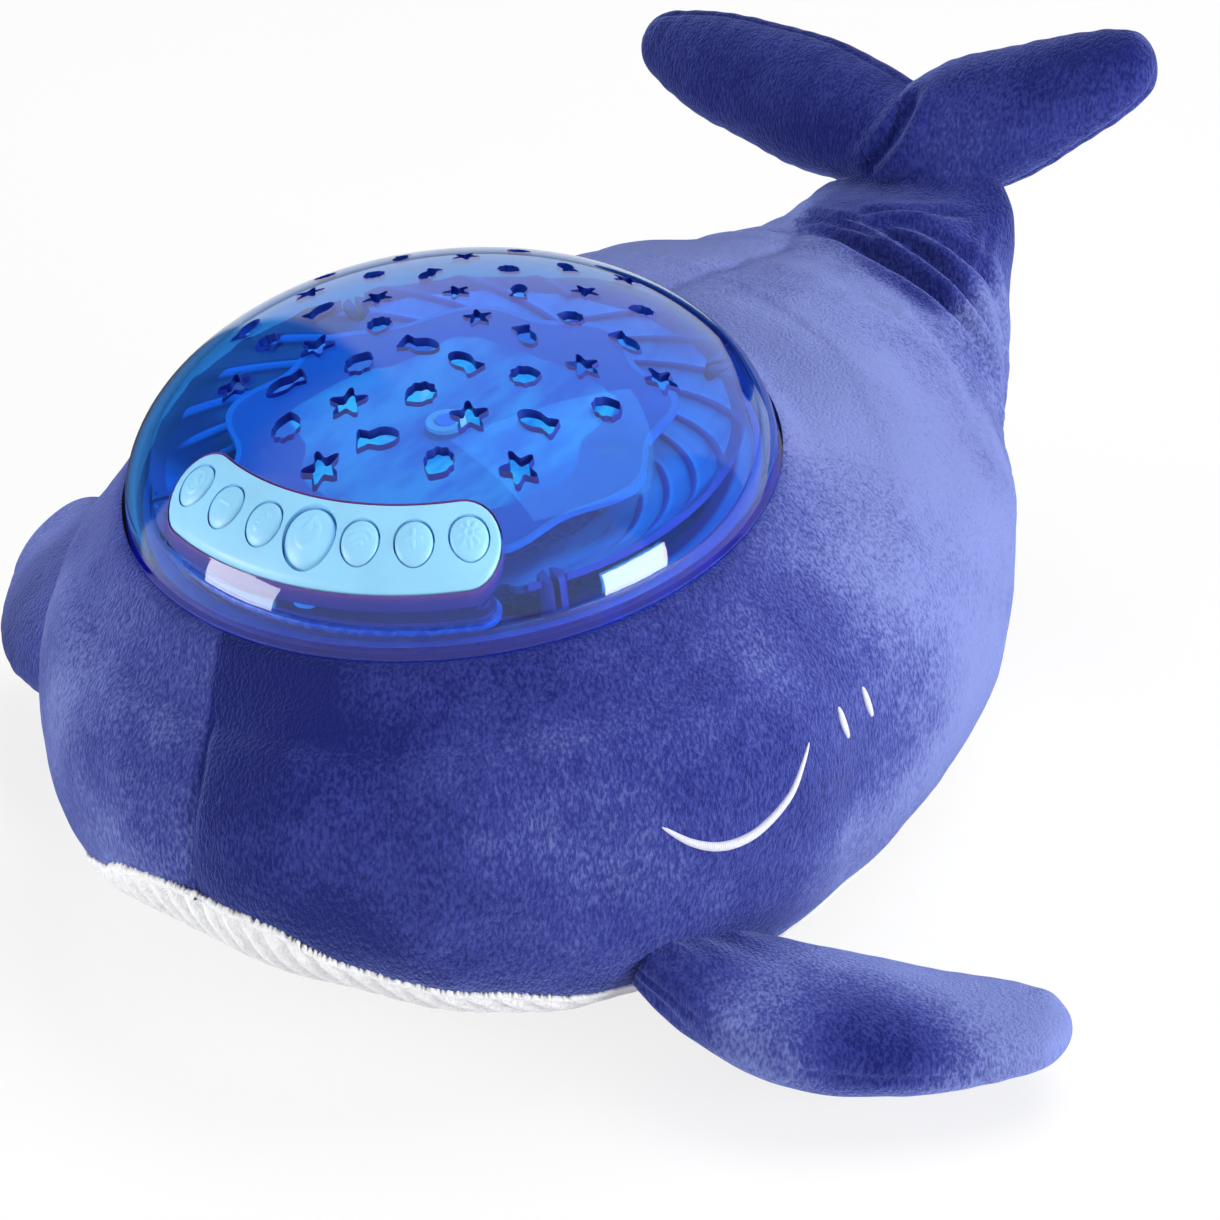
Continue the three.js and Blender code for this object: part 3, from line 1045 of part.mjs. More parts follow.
function led(degrees) {
  const { x, y } = onArc(LED_ARC_RADIUS, degrees);
  const neck = LED_LOW + LED_HEIGHT - LED_RADIUS;
  const dome45 = LED_RADIUS * Math.SQRT1_2;
  const profile = [[0, LED_LOW], [LED_RADIUS + LED_FLANGE, LED_LOW], [LED_RADIUS + LED_FLANGE, LED_LOW + 1],
    [LED_RADIUS, LED_LOW + 1], [LED_RADIUS, neck], [dome45, neck + dome45], [0, LED_LOW + LED_HEIGHT]];
  return revolve(profile, 8, new THREE.Matrix4().makeTranslation(x, y, 0));
}

function mainBoard() {
  const low = BOX_TOP + STANDOFF_HEIGHT + GAP;
  return prism(roundedRectangle(MAIN_BOARD_LENGTH / 2, MAIN_BOARD_WIDTH / 2, 2), low, low + BOARD_THICKNESS, 2);
}

function speaker() {
  const low = POD_BASE + POD_WALL + GAP;
  const neck = low + SPEAKER_HEIGHT / 2;
  const magnet = SPEAKER_RADIUS / 2;
  const profile = [[0, low], [SPEAKER_RADIUS, low], [SPEAKER_RADIUS, low + 1], [magnet, neck],
    [magnet, low + SPEAKER_HEIGHT], [0, low + SPEAKER_HEIGHT]];
  return revolve(profile, 20, new THREE.Matrix4().makeTranslation(0, SPEAKER_Y, 0));
}

// Assembly
const keyNames = ['key_timer', 'key_volume_down', 'key_music', 'key_power', 'key_waves', 'key_volume_up',
  'key_brightness'];

lightUnit.add(
  piece('dome', dome(), clearBlue()),
  piece('clamp_ring', clampRing(), violet()),
  piece('reflector_tray', reflectorTray(), violet()),
  piece('keypad_panel', keypadPanel(), paleBlue()),
  piece('key_mat', keyMat(), silicone()),
  piece('key_board', keyBoard(), boardGreen()),
  piece('lower_housing', lowerHousing(), housingBlue()),
  piece('battery_door', batteryDoor(), housingBlue()),
  piece('door_screw', screw(0, DOOR_SCREW_Y, POD_BASE + SCREW_HEAD_HEIGHT, DOOR_SCREW_LENGTH, true), steel()),
  piece('deck', deck(), whitePlastic()),
  piece('motor', motor(), steel()),
  piece('motor_pinion', motorPinion(), whitePlastic()),
  piece('lens_gear', lensGear(), whitePlastic()),
  piece('wave_lens', waveLens(), clearLens()),
  piece('spindle_clip', spindleClip(), darkPlastic()),
  piece('led_board', ledBoard(), boardGreen()),
  piece('main_board', mainBoard(), boardGreen()),
  piece('speaker', speaker(), darkPlastic()),
  piece('contact_plate_left', contactPlate(1), steel()),
  piece('contact_plate_right', contactPlate(-1), steel()),
  ...keyNumbers.map((number, i) => piece(keyNames[i], key(number), paleBlue())),
  ...cellNumbers.map((number) => piece(`cell_${number + 1}`, cell(number), cellWrap())),
  ...cellNumbers.map((number) => piece(`contact_spring_${number + 1}`, contactSpring(number), steel())),
  ...ledAngles.map((degrees, i) => piece(`led_${i + 1}`, led(degrees), whitePlastic())),
  ...columnAngles.map((degrees, i) => {
    const { x, y } = onArc(COLUMN_ARC_RADIUS, degrees);
    return piece(`deck_screw_${i + 1}`, screw(x, y, DECK_TOP + GAP, PILOT_DEPTH, false), steel());
  }),
);

const nightLight = new THREE.Group();
nightLight.add(
  piece('plush_body', plushBody(), blueFur()),
  piece('belly_panel', bellyPanel(), whiteFur()),
  piece('belly_flap', bellyFlap(), whiteFur()),
  piece('tail_stock', tailStock(), blueFur()),
  piece('left_fluke', flukeLobe(1, LEFT_FLUKE_SPAN, LEFT_FLUKE_RISES, LEFT_FLUKE_HALF_WIDTHS), blueFur()),
  piece('right_fluke', flukeLobe(-1, RIGHT_FLUKE_SPAN, RIGHT_FLUKE_RISES, RIGHT_FLUKE_HALF_WIDTHS), blueFur()),
  piece('left_fin', fin(LEFT_FIN_SPINE, LEFT_FIN_ACROSS, LEFT_FIN_HALF_WIDTHS), blueFur()),
  piece('right_fin', fin(RIGHT_FIN_SPINE, RIGHT_FIN_ACROSS, RIGHT_FIN_HALF_WIDTHS), blueFur()),
  lightUnit,
);

export default nightLight;
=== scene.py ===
"""Plush whale night light: the looks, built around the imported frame.

Lengths in this file are millimetres and are turned into metres where a mesh is made.
"""

import math

import bmesh
import bpy
import numpy as np
from mathutils import Matrix, Vector


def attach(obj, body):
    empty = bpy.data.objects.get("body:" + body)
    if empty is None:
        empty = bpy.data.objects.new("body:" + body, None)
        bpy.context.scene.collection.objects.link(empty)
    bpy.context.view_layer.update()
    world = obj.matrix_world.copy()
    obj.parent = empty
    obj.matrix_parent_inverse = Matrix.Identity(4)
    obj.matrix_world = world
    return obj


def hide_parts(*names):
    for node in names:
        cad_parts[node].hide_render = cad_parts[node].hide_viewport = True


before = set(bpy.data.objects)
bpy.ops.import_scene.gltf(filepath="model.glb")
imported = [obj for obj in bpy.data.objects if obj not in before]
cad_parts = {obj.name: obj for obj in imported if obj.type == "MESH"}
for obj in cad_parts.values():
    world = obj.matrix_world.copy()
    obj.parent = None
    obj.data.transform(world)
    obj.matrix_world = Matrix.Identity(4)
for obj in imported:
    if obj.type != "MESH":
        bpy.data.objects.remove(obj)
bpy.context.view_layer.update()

bl_info = {
    "name": "Plush whale night light",
    "version": (1, 0, 0),
    "blender": (4, 5, 0),
    "location": "3D View > Sidebar > Night light",
    "description": "Builds the plush whale, its dome, keypad and inner parts around the packed frame",
    "category": "Object",
}

MM = 0.001
TAU = 2 * math.pi
FORWARD = np.array([0.0, 1.0, 0.0])

# Trunk: reach in each direction from its widest section, as in the part's source
TRUNK_CENTRE = np.array([1.0, 2.9, 58.1])
TRUNK_HALF_WIDTH = 101.8
TRUNK_FRONT, TRUNK_BACK = 102.6, 156.0
TRUNK_UP, TRUNK_DOWN = 62.7, 58.6
FRONT_POWER, BACK_POWER = 1.88, 2.41
TOP_POWER, BOTTOM_POWER = 2.45, 3.0
SEAM_LINE = np.array([[-112, 60], [-98, 50], [-90, 40.5], [-80, 33.5], [-65, 28.5], [-45, 24.5],
                      [-10, 22], [70, 22], [125, 25], [170, 31]], float)

# Tail and flukes: x, y, z, half width and half thickness along the middle line
TAIL_LINE = np.array([[2, 88, 70, 72, 50.5], [3.5, 128, 72, 62, 43], [5.5, 158, 81, 46, 30],
                      [6, 179, 95, 33, 20], [4.5, 190, 109, 28, 15], [0, 195, 122, 24, 11]], float)
TAIL_POWER = 2.3
LIMB_POWER = 2.15
FLUKE_ROLL = math.radians(8)
FLUKE_ROOT = np.array([-3.0, 195.0, 116.0])
FLUKE_PLACES = np.array([-0.05, 0.3, 0.65, 0.9, 1.0])
FLUKE_ACROSS = np.array([math.cos(FLUKE_ROLL), 0, math.sin(FLUKE_ROLL)])
FLUKE_UP = np.array([-math.sin(FLUKE_ROLL), 0.45, math.cos(FLUKE_ROLL)])
FLUKE_UP /= np.linalg.norm(FLUKE_UP)
FLUKE_THICKNESS = [12, 12.5, 10.2, 6.8, 4.2]
FLUKE_SEAM = 3.0  # how far the seam of the flukes lies in front of their top edge
FIN_THICKNESS = [8, 12, 11, 7, 4.5]
TIP_START = 0.82

# Folds and seams of the tail: depth, half width and the line they follow
FOLDS = [
    (2.6, 1.9, [[-10, 154.5, 105.5], [5, 153.3, 107.7], [21.7, 150.5, 106.6], [35, 149.8, 102.8],
                [47, 149.3, 94.4], [55.4, 145.6, 81.5], [58, 140, 72]]),
    (2.4, 1.8, [[3, 161, 108.5], [20.7, 160.1, 107.9], [31.4, 158.9, 104.6], [41.2, 157.5, 98.4],
                [48.4, 155.4, 90.1], [52, 150, 78]]),
    (1.8, 1.6, [[8.7, 163.2, 109.4], [22.4, 165.3, 109.1], [35.7, 167.4, 103.4], [41.2, 168.5, 96.8],
                [46, 165, 86]]),
    (1.3, 1.3, [[3.4, 164, 109.4], [14.8, 169.7, 111.5], [31.9, 178, 111]]),
    (1.4, 1.2, [[-14, 163.7, 105.9], [-2.6, 160.6, 107.9], [6.2, 161, 108.7]]),
    (1.4, 1.2, [[-9.5, 158, 106.6], [5.2, 157.2, 108.1], [16, 156, 107.9]]),
    (1.1, 3.2, [[38, 134, 105], [44.6, 132, 101.8], [57.5, 128.2, 93.1], [75, 109, 87]]),
    (2.2, 1.9, [[-8, 154, 106], [-20, 150, 103], [-33, 148, 94], [-44, 146, 80]]),
    (1.9, 1.7, [[-16, 162, 104], [-27, 159, 98], [-36, 157, 88], [-42, 152, 76]]),
    (1.0, 1.0, [[33, 181, 111], [35, 176, 106], [38, 169, 102], [43, 170, 93.6], [51.5, 157, 73.6],
                [66, 132, 72], [84, 104, 72], [96, 70, 70]]),
]
FLUKE_FOLD = [(2.4, 1.7, [[3.4, 191.5, 138], [3.1, 188.5, 129.4], [2.1, 186.4, 124.4], [-1.3, 184.1, 118.9],
                          [-5.4, 182, 113.6], [-9, 180.5, 108.5]])]

# Light unit: leans forwards in the back, with its -Y at the middle of the keypad
UNIT_LEAN, UNIT_TURN = math.radians(6.07), math.radians(10.3)
UNIT_PLACE = np.array([0.0, 0.0, 110.0])
RIM_RADIUS, DOME_RADIUS, DOME_HEIGHT, DOME_POWER, DOME_WALL = 75.0, 74.0, 36.8, 2.08, 2.2
RIM_INNER, RIM_THICKNESS = 68.3, 2.2
DOME_DENSITY = 500.0  # per metre, how fast the clear plastic deepens
POCKET_WALL = [[0, -60.5], [60, -60.5], [66, -52], [69.5, -40], [70.9, -24], [70.9, -0.4],
               [75.4, -0.4], [75.4, 70], [0, 70]]
COLLAR = np.array([[75, 0.5], [77.2, -0.9], [80, -5.0], [84.5, -12.4], [100, -45]], float)
KEY_ARC, KEY_PITCH = 61.5, math.radians(10.9)
PANEL_HALF_WIDTH, PANEL_END = 7.55, math.radians(31.8)
KEYS = [("key_timer", "timer_button"), ("key_volume_down", "volume_down_button"),
        ("key_music", "music_button"), ("key_power", "power_button"), ("key_waves", "waves_button"),
        ("key_volume_up", "volume_up_button"), ("key_brightness", "brightness_button")]
POST_ANGLES = [math.radians(a) for a in (47, 133, 227, 313)]

# Camera at the photograph's view
VIEW_TURN, VIEW_RISE, VIEW_ROLL = math.radians(36.66), math.radians(30.2), math.radians(-1.81)
VIEW_TARGET = np.array([8.62, 46.41, 52.73])
VIEW_DISTANCE = 938.0
VIEW_LENS = 115.14

# Surroundings: light that fills the shadows, and the dark gaps that gloss shows between white screens,
# each as its two angles from the nose towards the whale's left and how dark it is
ROOM_FILL = 0.34
GAPS = [(math.radians(-126), math.radians(-82), 0.97), (math.radians(104), math.radians(150), 0.6)]


# ---- sums on arrays

def unit(vectors):
    """Each vector divided by its length."""
    return vectors / np.maximum(np.linalg.norm(vectors, axis=-1, keepdims=True), 1e-9)


def signed_power(values, power):
    """The size of each value raised to a power, with its sign kept."""
    return np.sign(values) * np.abs(values) ** power


def ease(values, low=0.0, high=1.0):
    """0 below low, 1 above high and the cubic 3t^2 - 2t^3 between them."""
    t = np.clip((values - low) / (high - low), 0, 1)
    return t * t * (3 - 2 * t)


def soft_max(a, b, width):
    """The larger of two values, with the corner between them rounded over a width."""
    return 0.5 * (a + b + np.sqrt((a - b) ** 2 + width ** 2))


def bell(values, width):
    """exp(-(value / width)^2), a bump of height 1."""
    return np.exp(-(values / width) ** 2)


def along(rows, places):
    """Catmull-Rom curve through rows, at places from 0 to 1; its ends use the end row twice."""
    rows = np.asarray(rows, float)
    last = len(rows) - 1
    t = np.clip(np.asarray(places), 0, 1) * last
    i = np.minimum(t.astype(int), last - 1)
    f = (t - i)[:, None]
    a, b, c, d = (rows[np.clip(i + k, 0, last)] for k in (-1, 0, 1, 2))
    return 0.5 * (2 * b + (c - a) * f + (2 * a - 5 * b + 4 * c - d) * f ** 2 + (3 * b - a - 3 * c + d) * f ** 3)


def swell(points, size, seed, waves=20):
    """Gentle lumps: the sum of cosine waves in random directions, each about size long."""
    draw = np.random.default_rng(seed)
    ways = unit(draw.normal(size=(waves, 3))) * (TAU / size) * draw.uniform(0.6, 1.5, (waves, 1))
    phases = draw.uniform(0, TAU, waves)
    return np.cos(points @ ways.T + phases).sum(-1) / math.sqrt(waves)


def to_world(points):
    """From the light unit's own frame to the toy's: turned, leant forwards and lifted."""
    points = np.asarray(points, float)
    c, s = math.cos(UNIT_TURN), math.sin(UNIT_TURN)
    turned = np.stack([c * points[..., 0] - s * points[..., 1], s * points[..., 0] + c * points[..., 1],
                       points[..., 2]], -1)
    c, s = math.cos(UNIT_LEAN), math.sin(UNIT_LEAN)
    return np.stack([turned[..., 0], c * turned[..., 1] - s * turned[..., 2],
                     s * turned[..., 1] + c * turned[..., 2]], -1) + UNIT_PLACE


UNIT_UP = to_world([0, 0, 1]) - UNIT_PLACE


# ---- meshes from grids

def add_object(mesh, finish, body, replaces=(), sharp=None):
    """Puts a mesh into the scene as a finished piece that rides on a body."""
    piece = bpy.data.objects.new(mesh.name, mesh)
    bpy.context.scene.collection.objects.link(piece)
    dress(piece, finish, sharp)
    if body:
        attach(piece, body)
    if replaces:
        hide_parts(*replaces)
    return piece


def dress(piece, finish, sharp=None):
    """Smooth shading, sharp only where two faces meet at more than an angle, and one finish."""
    mesh = piece.data
    mesh.polygons.foreach_set("use_smooth", np.ones(len(mesh.polygons), bool))
    if sharp:
        mesh.set_sharp_from_angle(angle=math.radians(sharp))
    mesh.materials.clear()
    if finish:
        mesh.materials.append(finish)
    mesh.update()


def quads_of(rows, columns, closed):
    """Corner numbers of the faces of a grid, with the last column joined to the first if closed."""
    j = np.arange(columns if closed else columns - 1)
    i = np.arange(rows - 1)[:, None]
    k = (j + 1) % columns
    return np.stack([i * columns + j, i * columns + k, (i + 1) * columns + k, (i + 1) * columns + j], -1)


def grid_mesh(name, grids, closed=True, uv=None):
    """A welded mesh of one or more grids of points, faces outwards. Rows that shrink to a point close it.
    uv holds the place of each grid's points on the cloth, with one column more where it is closed."""
    points, faces, maps = [], [], []
    count = 0
    for number, grid in enumerate(grids):
        rows, columns = grid.shape[:2]
        faces.append(quads_of(rows, columns, closed).reshape(-1, 4) + count)
        if uv is not None:
            wide = columns + 1 if closed else columns
            corners = quads_of(rows, wide, False).reshape(-1, 4)
            maps.append(uv[number].reshape(-1, 2)[corners].reshape(-1, 2))
        points.append(grid.reshape(-1, 3))
        count += rows * columns
    return put_mesh(name, np.concatenate(points), np.concatenate(faces), np.concatenate(maps) if maps else None)


def put_mesh(name, points, faces, uv=None, weld=0.002):
    """One mesh of points and four-cornered faces, turned outwards and with doubled points merged."""
    a, b, c, d = (points[faces[:, k]] for k in range(4))
    volume = np.einsum("ij,ij->i", a, np.cross(b, c)).sum() + np.einsum("ij,ij->i", a, np.cross(c, d)).sum()
    if volume < 0:
        faces = faces[:, ::-1]
        if uv is not None:
            uv = uv.reshape(-1, 4, 2)[:, ::-1].reshape(-1, 2)
    mesh = bpy.data.meshes.new(name)
    mesh.vertices.add(len(points))
    mesh.vertices.foreach_set("co", (points * MM).astype(np.float32).ravel())
    mesh.loops.add(faces.size)
    mesh.polygons.add(len(faces))
    mesh.polygons.foreach_set("loop_start", np.arange(0, faces.size, 4, dtype=np.int32))
    mesh.loops.foreach_set("vertex_index", faces.ravel().astype(np.int32))
    mesh.update(calc_edges=True)
    if uv is not None:
        mesh.uv_layers.new(name="cloth").data.foreach_set("uv", uv.astype(np.float32).ravel())
    if weld:
        welder = bmesh.new()
        welder.from_mesh(mesh)
        bmesh.ops.remove_doubles(welder, verts=welder.verts, dist=weld * MM)
        welder.to_mesh(mesh)
        welder.free()
    mesh.validate()
    return mesh


def pole(row):
    """A row of the same shape as another, gathered at its middle."""
    return np.repeat(row.mean(axis=0, keepdims=True), len(row), axis=0)


def capped(rings):
    """Rings with both ends closed at their middles."""
    return np.concatenate([pole(rings[0])[None], rings, pole(rings[-1])[None]])


def lathe(profile, sides, angles=None):
    """Rings of a profile of radius and height turned round z: (r sin a, -r cos a, z)."""
    profile = np.asarray(profile, float)
    a = np.arange(sides) * TAU / sides if angles is None else angles
    r, z = profile[:, :1], profile[:, 1:]
    return np.stack([r * np.sin(a), -r * np.cos(a), z + 0 * a], -1)


def column(radius, low, high, x, y, sides=48, round_top=0.0):
    """Closed rings of an upright cylinder, its top edge rounded by a radius."""
    turn = np.linspace(0, math.pi / 2, 5)
    edge = [[radius - round_top * (1 - math.cos(t)), high - round_top * (1 - math.sin(t))] for t in turn]
    profile = [[0, low], [radius, low]] + (edge if round_top else [[radius, high]]) + [[0, high]]
    return lathe(profile, sides) + np.array([x, y, 0])


def on_arc(radius, angle, height=0.0):
    """Point of the light unit at a radius and an angle from -Y."""
    return np.array([radius * math.sin(angle), -radius * math.cos(angle), height])


def carve(piece, grids, operation="DIFFERENCE"):
    """Cuts closed grids from a piece, or adds them, and keeps the result as its mesh."""
    tool = bpy.data.objects.new("carver", grid_mesh("carver", grids))
    bpy.context.scene.collection.objects.link(tool)
    step = piece.modifiers.new("carve", "BOOLEAN")
    step.operation = operation
    step.solver = "MANIFOLD"
    step.object = tool
    before = len(piece.data.polygons)
    view = bpy.context.evaluated_depsgraph_get()
    made = bpy.data.meshes.new_from_object(piece.evaluated_get(view))
    piece.modifiers.clear()
    old, piece.data = piece.data, made
    made.name = old.name
    bpy.data.meshes.remove(old)
    bpy.data.objects.remove(tool)
    if len(made.polygons) in (0, before):
        raise RuntimeError(f"carving {piece.name} changed nothing or left nothing")


# ---- shader maths

class Wire:
    """A value in a material's tree. Sums on wires add Math nodes."""

    def __init__(self, tree, socket):
        self.tree, self.socket = tree, socket

    def math(self, operation, *values):
        return self.tree.node("ShaderNodeMath", {"operation": operation}, dict(enumerate(values)))

    def __add__(self, other): return self.math("ADD", self, other)
    def __sub__(self, other): return self.math("SUBTRACT", self, other)
    def __rsub__(self, other): return self.math("SUBTRACT", other, self)
    def __mul__(self, other): return self.math("MULTIPLY", self, other)
    def __pow__(self, other): return self.math("POWER", self, other)
    def __lt__(self, other): return self.math("LESS_THAN", self, other)
    def __gt__(self, other): return self.math("GREATER_THAN", self, other)
    __radd__, __rmul__ = __add__, __mul__

    def size(self): return self.math("ABSOLUTE", self)
    def wave(self): return self.math("SINE", self)

    def ease(self, low, high):
        """0 at low and 1 at high, eased between them."""
        return self.tree.node("ShaderNodeMapRange", {"interpolation_type": "SMOOTHSTEP"},
                              {"Value": self, "From Min": low, "From Max": high})


class Tree:
    """A node tree whose nodes are added and wired up through node()."""

    def __init__(self, tree):
        self.nodes, self.links = tree.nodes, tree.links

    def put(self, node, key, value):
        """Sets one input of a node to a value, a colour or a wire."""
        socket = node.inputs[key]
        if isinstance(value, Wire):
            self.links.new(value.socket, socket)
        elif socket.type == "RGBA" and len(value) == 3:
            socket.default_value = (*value, 1)
        else:
            socket.default_value = value

    def node(self, kind, settings=None, inputs=None, output=0):
        """Adds a node: its settings first, then its inputs; returns one of its outputs."""
        made = self.nodes.new(kind)
        for key, value in (settings or {}).items():
            setattr(made, key, value)
        for key, value in (inputs or {}).items():
            self.put(made, key, value)
        return Wire(self, made.outputs[output])

    def split(self, vector):
        """The three parts of a vector."""
        parts = self.node("ShaderNodeSeparateXYZ", inputs={"Vector": vector}).socket.node.outputs
        return [Wire(self, part) for part in parts]


class Finish(Tree):
    """A material whose varying inputs are wires."""

    def __init__(self, name, **fixed):
        self.material = bpy.data.materials.new(name)
        self.material.use_nodes = True
        super().__init__(self.material.node_tree)
        self.shader = self.nodes["Principled BSDF"]
        self.output = self.nodes["Material Output"]
        for socket, value in fixed.items():
            self.put(self.shader, socket.replace("_", " ").title().replace("Ior", "IOR"), value)

    def place(self, scale=(1, 1, 1), turn=(0, 0, 0), source="Object"):
        """Object coordinates, or the cloth's own map, scaled and turned."""
        here = self.node("ShaderNodeTexCoord", output=source)
        return self.node("ShaderNodeMapping", inputs={"Vector": here, "Scale": scale, "Rotation": turn})

    def noise(self, place, scale, detail=2.0, rough=0.5):
        """Noise from 0 to 1 around 0.5."""
        return self.node("ShaderNodeTexNoise", inputs={"Vector": place, "Scale": scale, "Detail": detail,
                                                       "Roughness": rough})

    def mix(self, share, a, b, blend="MIX"):
        """Colour a to colour b by a share."""
        return self.node("ShaderNodeMix", {"data_type": "RGBA", "blend_type": blend}, {0: share, 6: a, 7: b}, 2)

    def axes(self, source="Object"):
        """x, y and z of the object coordinates, in metres, or the numbers of the piece's own map."""
        return self.split(self.node("ShaderNodeTexCoord", output=source))

    def stored(self, name):
        """A number stored at the piece's vertices."""
        return self.node("ShaderNodeAttribute", {"attribute_name": name}, output="Fac")

    def bump(self, height, depth, strength=1.0):
        """Relief of a height wire, depth in metres."""
        return self.node("ShaderNodeBump", inputs={"Height": height, "Distance": depth, "Strength": strength})

    def wear(self, **varying):
        """Wires for the shader's varying inputs; returns the material."""
        for key, value in varying.items():
            self.put(self.shader, key.replace("_", " ").title(), value)
        return self.material


_finishes = {}


def finish(maker, *arguments):
    """The finish that a maker gives, made once."""
    key = (maker.__name__, *arguments)
    if key not in _finishes:
        _finishes[key] = maker(*arguments)
    return _finishes[key]


def settings():
    return bpy.context.scene.night_light


def blue_plush():
    """Short pile: fine strokes, soft clouds where the pile lies another way, and a pale bloom at edges.
    Painted light and painted shade, with how the pile lies, are stored at the vertices; they change at once where cloth
    meets at the nose seam, and painted light lifts the front beside that seam on the whale's right."""
    s = settings()
    f = Finish("blue_plush", roughness=0.9, specular_ior_level=0.06, sheen_weight=0.65, sheen_roughness=0.45,
               sheen_tint=(0.38, 0.48, 1.0))
    place = f.place()
    strokes = f.noise(f.place((1.0, 0.85, 0.4), (0.35, 0.3, 0.2)), 1450, 2.0, 0.6).ease(0.3, 0.7) - 0.5
    tufts = f.noise(place, 480, 2, 0.5).ease(0.3, 0.7) - 0.5
    patches = f.noise(place, 90, 3, 0.55).ease(0.3, 0.7) - 0.5
    clouds = f.noise(place, 26, 3, 0.5).ease(0.3, 0.7) - 0.5
    # painted light: the front on the whale's right of the nose seam is lighter, with a sudden step at the seam
    front = 1 - f.axes()[1].ease(-0.085, -0.03)
    step = (1 - f.stored("off_seam").ease(-0.5, 0.9)) * front
    # the tone adds the painted light and painted shade stored at the vertices to random strokes, tufts, patches and
    # clouds
    tone = strokes * 0.36 + tufts * 0.12 + patches * 0.12 + clouds * 0.26 + step * 0.3 + f.stored("nap") + 0.31
    # fur_dark shows where the tone is low, mostly painted shade; fur_light where it is high, mostly painted light
    low = f.mix(tone.ease(-0.1, 0.5), tuple(s.fur_dark), tuple(s.fur_mid))
    colour = f.mix(tone.ease(0.36, 1.1), low, tuple(s.fur_light))
    return f.wear(base_color=colour, normal=f.bump(strokes + tufts * 0.25 + patches * 0.4, 0.0007, 0.45))


def white_plush():
    """Pale pile with faint grey hollows between its tufts."""
    s = settings()
    f = Finish("white_plush", roughness=0.95, specular_ior_level=0.12, sheen_weight=0.25, sheen_roughness=0.5,
               sheen_tint=(1, 1, 1))
    strokes = f.noise(f.place((1.0, 0.7, 0.5), (0.3, 0.2, 0.4)), 1300, 2, 0.6)
    tufts = f.noise(f.place(), 300, 2, 0.5)
    shade = tuple(c * 0.86 for c in s.belly_colour)
    colour = f.mix((strokes * 0.6 + tufts * 0.4).ease(0.32, 0.6), shade, tuple(s.belly_colour))
    return f.wear(base_color=colour, normal=f.bump(strokes + tufts, 0.0007, 0.6))


def thread():
    """Satin stitches laid side by side across a mark."""
    f = Finish("pale_thread", roughness=0.5, sheen_weight=0.3, sheen_roughness=0.4, sheen_tint=(1, 1, 1))
    run = f.axes("UV")[0]
    stitch = (run * (TAU / 0.45)).wave() * 0.5 + 0.5
    fuzz = f.noise(f.place(), 900, 2, 0.6)
    colour = f.mix(stitch * 0.5 + fuzz * 0.4, (0.68, 0.7, 0.84), (0.88, 0.89, 0.97))
    return f.wear(base_color=colour, normal=f.bump(stitch + fuzz * 0.6, 0.0003, 0.7))


def clear_dome():
    """Clear blue plastic that deepens with its thickness and lets the lamps in."""
    s = settings()
    f = Finish("clear_blue_dome", roughness=0.02, ior=1.5, transmission_weight=1.0)
    f.put(f.shader, "Base Color", (0.5, 0.76, 0.92))
    through = f.node("ShaderNodeBsdfTransparent", inputs={"Color": (0.7, 0.85, 0.95)})
    shadow = f.node("ShaderNodeLightPath", output="Is Shadow Ray")
    both = f.node("ShaderNodeMixShader", inputs={0: shadow, 1: Wire(f, f.shader.outputs[0]), 2: through})
    f.put(f.output, "Surface", both)
    f.put(f.output, "Volume", f.node("ShaderNodeVolumeAbsorption",
                                     inputs={"Color": tuple(s.dome_tint), "Density": DOME_DENSITY}))
    return f.material


def satin_plastic(name, colour, roughness=0.4, grain=0.00004, coat=0.0):
    """Moulded plastic with a fine grain, faint flow marks and slightly worn gloss."""
    f = Finish(name, coat_weight=coat, coat_roughness=0.15)
    place = f.place()
    grit = f.noise(place, 2600, 2, 0.6)
    flow = f.noise(f.place((1, 0.4, 1)), 60, 3, 0.6)
    shade = tuple(c * 0.9 for c in colour)
    return f.wear(base_color=f.mix(flow.ease(0.3, 0.7), shade, tuple(colour)),
                  roughness=flow.ease(0.2, 0.8) * 0.1 + (roughness - 0.05), normal=f.bump(grit, grain, 0.5))


def clear_plastic(name, colour, alpha, roughness=0.12):
    """Thin clear plastic, part see-through, a little denser where it flowed."""
    f = Finish(name, ior=1.47, coat_weight=0.6, coat_roughness=0.05)
    flow = f.noise(f.place(), 70, 3, 0.6)
    shade = tuple(c * 0.8 for c in colour)
    return f.wear(base_color=f.mix(flow.ease(0.3, 0.7), shade, tuple(colour)),
                  alpha=flow.ease(0.2, 0.8) * 0.12 + (alpha - 0.06), roughness=flow * 0.08 + (roughness - 0.04))


def plain_metal(name, colour, roughness=0.28):
    """Bright metal with fine drawn lines."""
    f = Finish(name, metallic=1.0)
    lines = f.noise(f.place((1, 1, 0.05)), 3000, 2, 0.6)
    return f.wear(base_color=f.mix(lines.ease(0.3, 0.7), tuple(c * 0.82 for c in colour), tuple(colour)),
                  roughness=lines * 0.16 + (roughness - 0.08), normal=f.bump(lines, 0.00003, 0.4))


def circuit_board(name, lacquer):
    """Lacquered board with paler copper runs under the mask."""
    f = Finish(name, roughness=0.4, coat_weight=0.5, coat_roughness=0.2)
    cells = f.node("ShaderNodeTexVoronoi", {"feature": "DISTANCE_TO_EDGE"}, {"Vector": f.place(), "Scale": 260})
    runs = cells.ease(0.06, 0.14)
    colour = f.mix(runs, tuple(0.1 + c for c in lacquer), lacquer)
    return f.wear(base_color=colour, normal=f.bump(1 - runs, 0.00005, 0.5))


